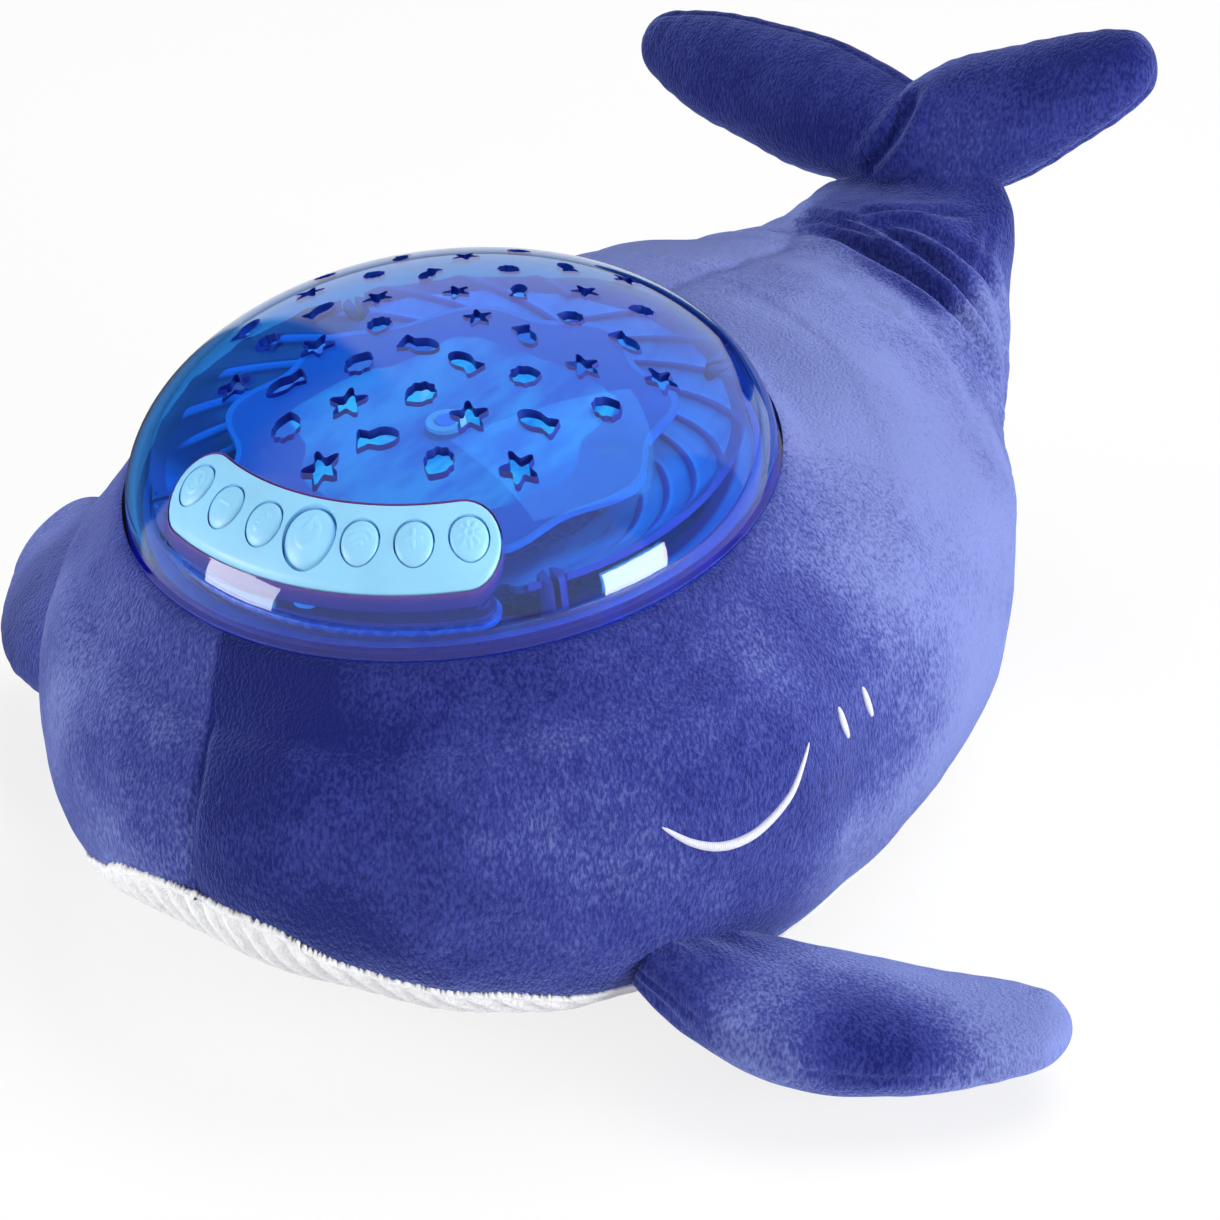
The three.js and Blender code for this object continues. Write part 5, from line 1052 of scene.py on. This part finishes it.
def segment_distance(points, start, end):
    """Distance of flat points from a straight stroke."""
    start, end = np.array(start, float), np.array(end, float)
    way = end - start
    t = np.clip(((points - start) @ way) / max(way @ way, 1e-9), 0, 1)
    return np.linalg.norm(points - start - t[..., None] * way, axis=-1)


def arc_distance(points, centre, radius, start, end):
    """Distance of flat points from an arc between two angles."""
    away = points - np.array(centre, float)
    angle = np.arctan2(away[..., 1], away[..., 0])
    middle, half = (start + end) / 2, (end - start) / 2
    off = np.abs((angle - middle + math.pi) % TAU - math.pi)
    ends = [np.linalg.norm(away - radius * np.array([math.cos(t), math.sin(t)]), axis=-1) for t in (start, end)]
    return np.where(off <= half, np.abs(np.linalg.norm(away, axis=-1) - radius), np.minimum(*ends))


def icon_distance(name, p):
    """Distance from the strokes of a plain sign, in a circle of radius 1."""
    if name == "key_timer":
        parts = [arc_distance(p, (0, 0), 0.8, -math.pi, math.pi), segment_distance(p, (0, 0), (0, 0.5)),
                 segment_distance(p, (0, 0), (0.38, 0))]
    elif name == "key_volume_down":
        parts = [segment_distance(p, (-0.6, 0), (0.6, 0))]
    elif name == "key_volume_up":
        parts = [segment_distance(p, (-0.6, 0), (0.6, 0)), segment_distance(p, (0, -0.6), (0, 0.6))]
    elif name == "key_music":
        parts = [arc_distance(p, (-0.3, -0.5), 0.2, -math.pi, math.pi), segment_distance(p, (-0.1, -0.5), (-0.1, 0.65)),
                 segment_distance(p, (-0.1, 0.65), (0.45, 0.4))]
    elif name == "key_power":
        parts = [arc_distance(p, (0, -0.05), 0.62, math.pi * 0.68, math.pi * 2.32), segment_distance(p, (0, 0.1), (0, 0.75))]
    elif name == "key_waves":
        parts = [arc_distance(p, (0, -0.7), r, 0.8, math.pi - 0.8) for r in (0.35, 0.85, 1.35)]
    else:
        parts = [arc_distance(p, (0, 0), 0.34, -math.pi, math.pi)]
        parts += [segment_distance(p, (0.6 * math.cos(t), 0.6 * math.sin(t)), (0.9 * math.cos(t), 0.9 * math.sin(t)))
                  for t in np.arange(8) * TAU / 8]
    return np.minimum.reduce(parts)


def key_rings(number, name):
    """Button: a crown of a sphere that leans with the dome, its edge rounded, a raised sign on it, and a column."""
    radius = 5.8 if number == 0 else 4.1
    angle = KEY_PITCH * number
    centre = on_arc(KEY_ARC, angle)
    rise = dome_height(KEY_ARC - 1) - dome_height(KEY_ARC + 1)
    way = unit(on_arc(rise, angle, 2))
    ball = on_arc(KEY_ARC, angle, dome_height(KEY_ARC)) + way * (1.2 - 14)
    share = np.concatenate([np.linspace(0.0005, 0.8, 34), np.linspace(0.82, 1, 10)])
    turn = np.arange(72) * TAU / 72
    local = np.stack([share[:, None] * np.cos(turn), share[:, None] * np.sin(turn)], -1)
    x, y = centre[0] + radius * local[..., 0], centre[1] + radius * local[..., 1]
    top = ball[2] + np.sqrt(14 ** 2 - (x - ball[0]) ** 2 - (y - ball[1]) ** 2)
    roll = 0.24 * radius
    drop = roll * (1 - np.sqrt(1 - np.clip((share * radius - radius + roll) / roll, 0, 1) ** 2))
    spin = np.array([[math.cos(angle), -math.sin(angle)], [math.sin(angle), math.cos(angle)]])
    strokes = icon_distance(name, (local @ spin) / 0.66)
    sign = 0.24 * (1 - ease(strokes, 0.06, 0.2))
    rows = [np.stack([x, y, top - 0.75 * drop[:, None] + sign], -1)]
    panel_under = dome_height(KEY_ARC + radius + 0.7, -3.9)
    for r, z in ((radius, panel_under - 0.4), (radius + 0.7, panel_under - 0.5), (radius + 0.7, panel_under - 1.5),
                 (radius, panel_under - 1.6), (radius * 0.5, panel_under - 1.6), (0.0005, panel_under - 1.6)):
        rows.append(np.stack([centre[0] + r * np.cos(turn), centre[1] + r * np.sin(turn), 0 * turn + z], -1)[None])
    return np.concatenate(rows)


def tray_rings():
    """Reflector: height rises with the square of the way out. Its ribs fan like those of a scallop shell:
    each leans towards the back as it runs inwards, on both sides. Returns the rings round the wall's
    section and the map: the violet rim and each point's share of a rib."""
    count, lean = 22, math.radians(2.5)
    angle = np.arange(600) * TAU / 600
    away = np.abs((angle + math.pi) % TAU - math.pi)
    outer = 66.4 - (66.4 - 52.35) * (1 - ease(away, math.radians(40), math.radians(42)))
    share = np.linspace(0, 1, 91)[:, None]
    radius = 41 + (outer - 41) * share
    real = (radius - 41) / (66.4 - 41)
    phase = ((away - lean * (66.4 - radius)) * count / TAU) % 1
    across = (phase - 0.5) * TAU * radius / count / np.sqrt(1 + (lean * radius) ** 2)
    rib = bell(across, 0.95) * ease(real, 0.1, 0.3) * ease(away, math.radians(62), math.radians(80))
    height = -1.8 + 10.5 * real ** 2 + 0.9 * rib
    top = np.stack([radius * np.sin(angle), -radius * np.cos(angle), height + 1.6], -1)
    under = np.stack([radius * np.sin(angle), -radius * np.cos(angle), -1.8 + 10.5 * real ** 2 - 0.3], -1)
    rim = ease(radius, 63.2, 63.6)
    marks = np.stack([rim, rib], -1)
    return np.concatenate([top, under[::-10], top[:1]]), np.concatenate([marks, marks[::-10], marks[:1]])


def lens_rings():
    """Wave lens: the edge waves nine times round, and the top ripples more towards the edge.
    Returns the rings and the map: the share of the way out and the turn."""
    angle = np.arange(432) * TAU / 432
    share = np.linspace(0.03, 1, 42)[:, None]
    radius = share * 49.5 + 2.4 * np.cos(9 * angle) * share ** 2
    ripple = 0.9 * share * (0.5 + 0.5 * np.cos(4 * angle + radius / 4)) * ease(radius, 7, 12)
    bead = 0.3 * bell(1 - share, 0.018)
    high = 11 - 0.9 + ripple + bead
    top = np.stack([radius * np.sin(angle), -radius * np.cos(angle), high], -1)
    low = np.stack([radius * np.sin(angle), -radius * np.cos(angle), 9.05 + 0 * radius], -1)
    turn = np.append(angle, TAU)
    marks = np.stack(np.broadcast_arrays(share, turn), -1)
    return np.concatenate([low[:1], top, low[::-1]]), np.concatenate([marks[:1], marks, marks[::-1]])


def clamp_profile():
    """Section of the clamp ring with rounded edges."""
    return [[61, -4.3], [70.4, -4.3], [70.4, -0.7], [70.2, -0.4], [69.9, -0.3], [61.5, -0.3], [61.2, -0.4],
            [61, -0.7], [61, -4.3]]


# ---- settings and operators

class NightLightSettings(bpy.types.PropertyGroup):
    # fur_light: the plush where painted light falls, and its paler strokes
    fur_light: bpy.props.FloatVectorProperty(
        name="Light nap", description="Plush where the pile catches the light", subtype="COLOR",
        default=(0.172, 0.213, 0.5), min=0, max=1)
    fur_mid: bpy.props.FloatVectorProperty(
        name="Plush", description="Plush colour", subtype="COLOR", default=(0.035, 0.045, 0.25), min=0, max=1)
    # fur_dark: the plush in painted shade, and its darker strokes
    fur_dark: bpy.props.FloatVectorProperty(
        name="Dark nap", description="Plush where the pile lies away", subtype="COLOR",
        default=(0.007, 0.011, 0.125), min=0, max=1)
    belly_colour: bpy.props.FloatVectorProperty(
        name="Belly", description="Belly plush", subtype="COLOR", default=(0.85, 0.85, 0.87), min=0, max=1)
    dome_tint: bpy.props.FloatVectorProperty(
        name="Dome tint", description="Tint of the clear dome", subtype="COLOR", default=(0.02, 0.66, 0.94),
        min=0, max=1)
    keypad_colour: bpy.props.FloatVectorProperty(
        name="Keypad", description="Panel and buttons", subtype="COLOR", default=(0.28, 0.64, 0.93), min=0, max=1)
    lumps: bpy.props.FloatProperty(
        name="Lumps", description="Unevenness of the filling, as a share of the usual", default=1.0, min=0, max=2)
    folds: bpy.props.FloatProperty(
        name="Tail folds", description="Depth of the folds round the tail, as a share", default=1.0, min=0, max=2)
    rib_pitch: bpy.props.FloatProperty(
        name="Rib pitch", description="Width of one belly rib, in mm", default=5.3, min=3, max=12)
    rib_depth: bpy.props.FloatProperty(
        name="Rib depth", description="Height of the belly ribs, in mm", default=1.5, min=0, max=2)
    lamp_strength: bpy.props.FloatProperty(
        name="Lamps", description="Strength of the studio lamps, as a share", default=1.0, min=0, max=3)


class Builder:
    """What the operators share: a failed step raises an error, which stops the script."""
    bl_options = {"REGISTER", "UNDO"}

    def execute(self, context):
        self.build()
        return {"FINISHED"}


class NIGHTLIGHT_OT_stage(Builder, bpy.types.Operator):
    """Floor, lamps, white surroundings and the camera"""
    bl_idname = "night_light.stage"
    bl_label = "Stage"

    def build(self):
        scene = bpy.context.scene
        scene.view_settings.view_transform = "Standard"
        grid = np.stack(np.meshgrid([-4000.0, 4000.0], [-4000.0, 4000.0], indexing="ij"), -1)
        floor = grid_mesh("floor", [np.concatenate([grid, np.full((2, 2, 1), -0.02)], -1)], closed=False)
        floor = add_object(floor, finish(white_floor), None)
        if floor.data.polygons[0].normal.z < 0:
            floor.data.flip_normals()
        self.sky(scene)
        strength = settings().lamp_strength
        self.lamp("right_softbox", (1080, 110, 225), (460, 400), 10.0 * strength)
        self.lamp("front_softbox", (-640, -860, 230), (520, 400), 7.0 * strength)
        over = self.lamp("overhead_lamp", (300, 700, 1900), (1500, 1200), 25 * strength)
        over.visible_glossy = False
        self.camera(scene)

    def sky(self, scene):
        """White to the camera, through clear plastic and in gloss, where dark gaps stand between the screens up
        to a height. It fills the shadows evenly with less."""
        scene.world = bpy.data.worlds.new("studio")
        scene.world.use_nodes = True
        t = Tree(scene.world.node_tree)
        x, y, z = t.split(t.node("ShaderNodeTexCoord", output="Generated"))
        screens = 1 - ROOM_FILL
        for start, end, dark in GAPS:
            after = (x * math.cos(start) + y * math.sin(start)).ease(-0.02, 0.02)
            before = (x * -math.cos(end) + y * -math.sin(end)).ease(-0.02, 0.02)
            screens = screens - after * before * (1 - z.ease(0.6, 0.85)) * dark
        path = t.node("ShaderNodeLightPath").socket.node.outputs
        through = Wire(t, path["Is Transmission Ray"])
        gloss = Wire(t, path["Is Glossy Ray"]) * (1 - through)
        seen = Wire(t, path["Is Camera Ray"]) + through
        level = gloss * screens + seen * (1 - ROOM_FILL) + ROOM_FILL
        t.put(t.nodes["Background"], "Color", (1, 1, 1))
        t.put(t.nodes["Background"], "Strength", level)

    def lamp(self, name, place, size, power):
        light = bpy.data.lights.new(name, "AREA")
        light.shape = "RECTANGLE"
        light.size, light.size_y = size[0] * MM, size[1] * MM
        light.energy = power
        lamp = bpy.data.objects.new(name, light)
        bpy.context.scene.collection.objects.link(lamp)
        way = Vector(np.array(place, float) - VIEW_TARGET)
        lamp.matrix_world = Matrix.Translation(Vector(place) * MM) @ way.to_track_quat("Z", "Y").to_matrix().to_4x4()
        return lamp

    def camera(self, scene):
        """At a distance from its target, turned from the nose, raised, and rolled a little."""
        turn, rise = VIEW_TURN, VIEW_RISE
        back = np.array([math.sin(turn) * math.cos(rise), -math.cos(turn) * math.cos(rise), math.sin(rise)])
        right = np.array([math.cos(turn), math.sin(turn), 0])
        up = np.cross(back, right)
        c, s = math.cos(VIEW_ROLL), math.sin(VIEW_ROLL)
        right, up = c * right + s * up, -s * right + c * up
        data = bpy.data.cameras.new("camera")
        data.lens, data.sensor_width = VIEW_LENS, 36
        data.clip_start, data.clip_end = 0.01, 50
        camera = bpy.data.objects.new("camera", data)
        scene.collection.objects.link(camera)
        rows = np.stack([right, up, back, (VIEW_TARGET + VIEW_DISTANCE * back) * MM], 1)
        camera.matrix_world = Matrix([*rows.tolist(), [0, 0, 0, 1]])
        scene.camera = camera


class NIGHTLIGHT_OT_body(Builder, bpy.types.Operator):
    """Blue stuffed body and tail in one skin, with the pocket for the light unit"""
    bl_idname = "night_light.body"
    bl_label = "Body"

    def build(self):
        rings, angle = body_surface()
        mesh = grid_mesh("whale_body", [capped(rings)])
        body = add_object(mesh, None, "toy", ("plush_body", "tail_stock"))
        carve(body, [to_world(capped(lathe(POCKET_WALL, 120)))])
        dress(body, finish(blue_plush), 50)
        comb(body)


class NIGHTLIGHT_OT_belly(Builder, bpy.types.Operator):
    """Ribbed belly panel, its fringe of pile over the seam, and the closure flap"""
    bl_idname = "night_light.belly"
    bl_label = "Belly"

    def build(self):
        outer, inner, y = belly_surface()
        mesh = grid_mesh("belly", [sheet_rings(outer, inner)])
        belly = add_object(mesh, None, "toy", ("belly_panel",))
        carve(belly, [prism(self.flap_outline(0.4), -20, 20)])
        dress(belly, finish(white_plush), 60)
        self.flap()
        self.fringe()

    def flap_outline(self, grow, corner=8):
        """Rounded rectangle about the flap's middle."""
        turn = np.linspace(0, math.pi / 2, 9)
        round_corner = np.stack([np.cos(turn), np.sin(turn)], -1) * (corner + grow)
        half = np.array([27 + grow, 33 + grow]) - corner - grow
        spins = [np.array([[math.cos(t), math.sin(t)], [-math.sin(t), math.cos(t)]]) for t in np.arange(4) * math.pi / 2]
        signs = [(1, 1), (-1, 1), (-1, -1), (1, -1)]
        return np.concatenate([round_corner @ s + half * c for s, c in zip(spins, signs)]) + [1, 75]

    def flap(self):
        """Nested outlines on the trunk's underside, z = c - d (girth^p - |x / w|^p)^(1/p): rolled over at the
        edge, with a stitched groove inside it."""
        outline = self.flap_outline(0)
        middle = np.array([1.0, 75.0])
        rows = []
        shares = np.concatenate([[0.0005], np.linspace(0.1, 0.8, 8), [0.86, 0.9, 0.93, 0.975, 1]])
        levels = np.concatenate([np.zeros(10), [0.35, 0.05, 0.1, 0.8]])
        for share, z in zip([*shares, *shares[::-1]], [*levels, 1.4, 2.0, *np.full(12, 2.0)]):
            flat = middle + (outline - middle) * share
            girth = trunk_girth(flat[:, 1]) ** BOTTOM_POWER
            across = np.abs((flat[:, 0] - TRUNK_CENTRE[0]) / TRUNK_HALF_WIDTH) ** BOTTOM_POWER
            bottom = TRUNK_CENTRE[2] - TRUNK_DOWN * (girth - across) ** (1 / BOTTOM_POWER)
            rows.append(np.concatenate([flat, (np.maximum(bottom, 0) + z)[:, None]], 1))
        mesh = grid_mesh("closure_flap", [np.stack(rows)])
        flap = add_object(mesh, finish(white_plush), "toy", ("belly_flap",), 60)

    def fringe(self):
        """Edge of the white pile along the seam, all round the belly: a thin strip that lies over the blue.
        Its upper edge stands above the seam by a random height at each step."""
        step = 0.35
        y = -98.5 + 241.5 * (1 - np.cos(math.pi * np.linspace(0, 1, 500))) / 2
        half = belly_point(y, belly_angles(y, 2))
        back = belly_point(y[-1:], belly_angles(y[-1:], 200))[0]
        line = np.concatenate([half[::-1, 0], half[:, 1], back[-2:0:-1]])
        line = np.roll(line, 650, axis=0)
        run = np.concatenate([[0], np.cumsum(np.linalg.norm(np.diff(line, axis=0), axis=1))])
        places = np.arange(0, run[-1], step)
        base = np.stack([np.interp(places, run, line[:, k]) for k in range(3)], -1)
        base = base + (stuffing(base) * ease(base[:, 2], 2, 26))[:, None] * unit(base - TRUNK_CENTRE)
        out = unit(np.stack([trunk_level(base + way) - trunk_level(base - way) for way in np.eye(3) * 0.5], -1))
        up = unit(np.array([0, 0, 1.0]) - out[:, 2:] * out)
        front = (1 - ease(base[:, 1], -66, -34))[:, None]
        tooth = np.random.default_rng(21).uniform(0.5, 1.7, (len(base), 1)) * (0.35 + 0.65 * front)
        rise = np.concatenate([0 * tooth - 2.2, 0 * tooth - 0.9, 0.3 * tooth, 0.7 * tooth, tooth], 1)
        lift = np.array([-0.1, 0.8, 0.85, 0.65, 0.25]) * (0.45 + 0.55 * front)
        outer = base[:, None] + rise[..., None] * up[:, None] + lift[..., None] * out[:, None]
        mesh = grid_mesh("seam_fringe", [sheet_rings(outer, outer - 0.7 * out[:, None])])
        add_object(mesh, finish(white_plush), "toy")


class NIGHTLIGHT_OT_limbs(Builder, bpy.types.Operator):
    """Side fins and both lobes of the fluke, stuffed and seamed round their edges"""
    bl_idname = "night_light.limbs"
    bl_label = "Fins and flukes"

    def build(self):
        limbs = [
            ("fin_left", "left_fin", [[80, -38, 32], [106, -30, 21], [130, -16, 16.5], [151, -1.8, 16], [161.5, 4.5, 17]],
             [0.35, -0.83, 0.06], [12, 20, 20.5, 15.2, 8.5], FIN_THICKNESS, 0.6, 0.5, 0, []),
            ("fin_right", "right_fin", [[-80, -27, 47], [-104, -14, 43], [-124, 1, 41], [-142, 16, 39], [-152, 24, 39]],
             [-0.35, -0.45, -0.43], [14, 23, 24, 17, 10], FIN_THICKNESS, 0.6, 0.5, 0, []),
            ("fluke_right", "right_fluke", fluke_spine(-1, 87, [1.9, 22.3]), FLUKE_UP, [13, 17.7, 15.3, 9.9, 5.4],
             FLUKE_THICKNESS, 1.2, 0.0, -FLUKE_SEAM, FLUKE_FOLD),
            ("fluke_left", "left_fluke", fluke_spine(1, 69, [-2.4, 27.7]), FLUKE_UP, [12.5, 17.9, 14.2, 9.3, 5.2],
             FLUKE_THICKNESS, 0.8, 0.0, 0, FLUKE_FOLD),
        ]
        for seed, (name, node, *shape) in enumerate(limbs):
            mesh = grid_mesh(name, [capped(limb_rings(*shape, seed=seed))])
            limb = add_object(mesh, finish(blue_plush), "toy", (node,))
            comb(limb)


class NIGHTLIGHT_OT_face(Builder, bpy.types.Operator):
    """Closed eyes and cheek marks, embroidered in satin stitch on both sides"""
    bl_idname = "night_light.face"
    bl_label = "Face"

    def build(self):
        eye = [[88.4, -44.8, 69.5], [91.8, -39.5, 64.3], [95, -32.9, 61.3], [98.2, -24.3, 61.6], [100.3, -15.7, 66.6],
               [100.3, -7.5, 75.3]]
        marks = [("eye", eye, 1.15, 1.0),
                 ("cheek_mark_front", [[100.4, 5.1, 77.7], [101.4, 5.4, 74], [102.2, 6.8, 69.4]], 0.95, 0.8),
                 ("cheek_mark_back", [[100.3, 15.7, 77.4], [101.3, 16.2, 73.5], [102.1, 17.6, 69.2]], 0.9, 0.8)]
        for side, word in ((1, "left"), (-1, "right")):
            for name, line, width, height in marks:
                points = along(np.array(line), np.linspace(0, 1, 90))
                points[:, 0] = TRUNK_CENTRE[0] + side * (points[:, 0] - TRUNK_CENTRE[0])
                middle, outwards = trunk_marks(points)
                share = np.linspace(0, 1, 90)
                taper = np.maximum(np.sin(math.pi * share), 0.02) ** 0.55
                rings = ribbon_rings(middle, outwards, width * taper, height * taper)
                run = np.concatenate([[0], np.cumsum(np.linalg.norm(np.diff(middle, axis=0), axis=1))])
                run = np.concatenate([[run[0]], run, [run[-1]]])
                uv = np.stack(np.broadcast_arrays(run[:, None], np.linspace(0, 1, 21)[None]), -1)
                mesh = grid_mesh(f"{name}_{word}", [capped(rings)], uv=[uv])
                add_object(mesh, finish(thread), "toy")


class NIGHTLIGHT_OT_dome(Builder, bpy.types.Operator):
    """Clear blue dome with its rolled rim, cut-outs and the keypad's window"""
    bl_idname = "night_light.dome"
    bl_label = "Dome"

    def build(self):
        rings = lathe(dome_profile(), 180)
        mesh = grid_mesh("clear_dome", [to_world(rings)])
        dome = add_object(mesh, None, "toy", ("dome",))
        window = prism(panel_outline(PANEL_HALF_WIDTH + 0.4), 4, 60)
        carve(dome, [to_world(grid) for grid in [window, *cutout_tools()]])
        dress(dome, finish(clear_dome), 32)
        self.frost(dome.data)

    def frost(self, mesh):
        """Gives the walls of the cut-outs and of the window their own finish: upright faces inside the rim."""
        normals, centres = (np.empty(len(mesh.polygons) * 3, np.float32) for _ in range(2))
        mesh.polygons.foreach_get("normal", normals)
        mesh.polygons.foreach_get("center", centres)
        upright = np.abs(normals.reshape(-1, 3) @ UNIT_UP) < 0.02
        centres = centres.reshape(-1, 3) / MM
        radius, _ = unit_place(centres)
        middle = to_world(on_arc(1.0, 0.0)) - UNIT_PLACE
        window = ((centres - UNIT_PLACE) @ middle > 52 * math.cos(PANEL_END + 0.16)) & (radius > 52)
        mesh.materials.append(finish(cut_edge))
        mesh.materials.append(finish(satin_plastic, "window_edge", (0.25, 0.06, 0.3), 0.35, 0.00001))
        index = (upright & (radius < 71)) * np.where(window, 2, 1)
        mesh.polygons.foreach_set("material_index", index.astype(np.int32))


class NIGHTLIGHT_OT_keypad(Builder, bpy.types.Operator):
    """Pale blue curved panel and its seven push buttons with plain raised signs"""
    bl_idname = "night_light.keypad"
    bl_label = "Keypad"

    def build(self):
        colour = tuple(settings().keypad_colour)
        pale = finish(satin_plastic, "pale_blue_plastic", colour, 0.38, 0.00003)
        mesh = grid_mesh("panel", [to_world(panel_rings())])
        panel = add_object(mesh, None, "toy", ("keypad_panel",))
        holes = []
        for i in range(7):
            x, y, z = on_arc(KEY_ARC, KEY_PITCH * (i - 3))
            holes.append(to_world(column((5.8 if i == 3 else 4.1) + 0.35, 4, 60, x, y)))
        carve(panel, holes)
        dress(panel, pale, 32)
        for i, (node, body) in enumerate(KEYS):
            mesh = grid_mesh(node.replace("key", "button"), [to_world(key_rings(i - 3, node))])
            add_object(mesh, pale, body, (node,), 40)


class NIGHTLIGHT_OT_inside(Builder, bpy.types.Operator):
    """What shows through the dome: clamp ring with posts, reflector and wave lens"""
    bl_idname = "night_light.inside"
    bl_label = "Inside"

    def build(self):
        ring = add_object(grid_mesh("violet_ring", [to_world(lathe(clamp_profile(), 160))]), None, "toy",
                          ("clamp_ring",))
        posts = [column(3.1, -3, 9.8, *on_arc(64.4, a)[:2], 32, 0.8) for a in POST_ANGLES]
        pegs = [column(1.5, -3, 1.1, *on_arc(62.5, math.radians(a))[:2], 24, 0.3) for a in (-24, 0, 24)]
        carve(ring, [to_world(grid) for grid in posts + pegs], "UNION")
        slots = [prism(on_arc(64.4, a)[:2] + self.slot(a), 2.8, 12) for a in POST_ANGLES]
        carve(ring, [to_world(grid) for grid in slots])
        dress(ring, finish(clamp_plastic), 35)
        rings, uv = tray_rings()
        uv = np.concatenate([uv, uv[:, :1]], 1)
        tray = add_object(grid_mesh("reflector", [to_world(rings)], uv=[uv]), None, "toy",
                          ("reflector_tray",))
        carve(tray, [to_world(column(3.5, -6, 20, *on_arc(64.4, a)[:2], 32)) for a in POST_ANGLES])
        dress(tray, finish(reflector), 40)
        rings, uv = lens_rings()
        add_object(grid_mesh("rippled_lens", [to_world(rings)], uv=[uv]), finish(wave_plate), "wave_drive",
                   ("wave_lens",), 40)

    def slot(self, angle):
        """Outline of a slot through a post, lengthwise towards the middle of the unit."""
        c, s = math.cos(angle), math.sin(angle)
        return np.array([[-0.7, -4.6], [0.7, -4.6], [0.7, 4.6], [-0.7, 4.6]]) @ np.array([[c, s], [-s, c]])


class NIGHTLIGHT_OT_frame(Builder, bpy.types.Operator):
    """Finishes of the parts that keep the frame's own shapes"""
    bl_idname = "night_light.frame"
    bl_label = "Frame parts"

    def build(self):
        blue = finish(satin_plastic, "housing_blue_plastic", (0.1, 0.16, 0.6), 0.42)
        azure = finish(satin_plastic, "azure_plastic", (0.14, 0.42, 0.9), 0.3)
        white = finish(satin_plastic, "white_plastic", (0.82, 0.82, 0.84), 0.4)
        dark = finish(satin_plastic, "dark_plastic", (0.04, 0.04, 0.045), 0.45)
        mat = finish(satin_plastic, "silicone_mat", (0.1, 0.05, 0.3), 0.6)
        wrap = finish(satin_plastic, "cell_wrap", (0.1, 0.3, 0.2), 0.3, 0.00001, 0.5)
        steel = finish(plain_metal, "steel", (0.72, 0.73, 0.75))
        lamp = finish(clear_plastic, "clear_lamp", (0.9, 0.92, 0.95), 0.55)
        looks = {"lower_housing": blue, "battery_door": blue, "deck": azure, "lens_gear": white, "motor_pinion": white,
                 "spindle_clip": white, "motor": steel, "speaker": dark, "key_mat": mat, "door_screw": steel}
        for name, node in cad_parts.items():
            group = name.rstrip("_0123456789")
            look = looks.get(name) or {"cell": wrap, "led": lamp, "deck_screw": steel, "contact_spring": steel,
                                       "contact_plate_left": steel, "contact_plate_right": steel}.get(group)
            if look is None and "board" in name:
                lacquer = (0.03, 0.2, 0.09) if name == "main_board" else (0.05, 0.2, 0.7)
                look = finish(circuit_board, name, lacquer)
            if look and not node.hide_render:
                node.data.materials.clear()
                node.data.materials.append(look)


class NIGHTLIGHT_PT_panel(bpy.types.Panel):
    """Settings and steps of the night light"""
    bl_label = "Plush whale night light"
    bl_idname = "NIGHTLIGHT_PT_panel"
    bl_space_type = "VIEW_3D"
    bl_region_type = "UI"
    bl_category = "Night light"

    def draw(self, context):
        for name in NightLightSettings.__annotations__:
            self.layout.prop(context.scene.night_light, name)
        for step in STEPS:
            self.layout.operator(step.bl_idname)


STEPS = [NIGHTLIGHT_OT_stage, NIGHTLIGHT_OT_body, NIGHTLIGHT_OT_belly, NIGHTLIGHT_OT_limbs, NIGHTLIGHT_OT_face,
         NIGHTLIGHT_OT_dome, NIGHTLIGHT_OT_keypad, NIGHTLIGHT_OT_inside, NIGHTLIGHT_OT_frame]
CLASSES = [NightLightSettings, *STEPS, NIGHTLIGHT_PT_panel]


def register():
    for each in CLASSES:
        bpy.utils.register_class(each)
    bpy.types.Scene.night_light = bpy.props.PointerProperty(type=NightLightSettings)


def unregister():
    del bpy.types.Scene.night_light
    for each in reversed(CLASSES):
        bpy.utils.unregister_class(each)


def main():
    register()
    for step in STEPS:
        name = step.bl_idname.split(".")[1]
        if getattr(bpy.ops.night_light, name)() != {"FINISHED"}:
            raise RuntimeError(f"{step.bl_label} was not finished")


if __name__ == "__main__":
    main()
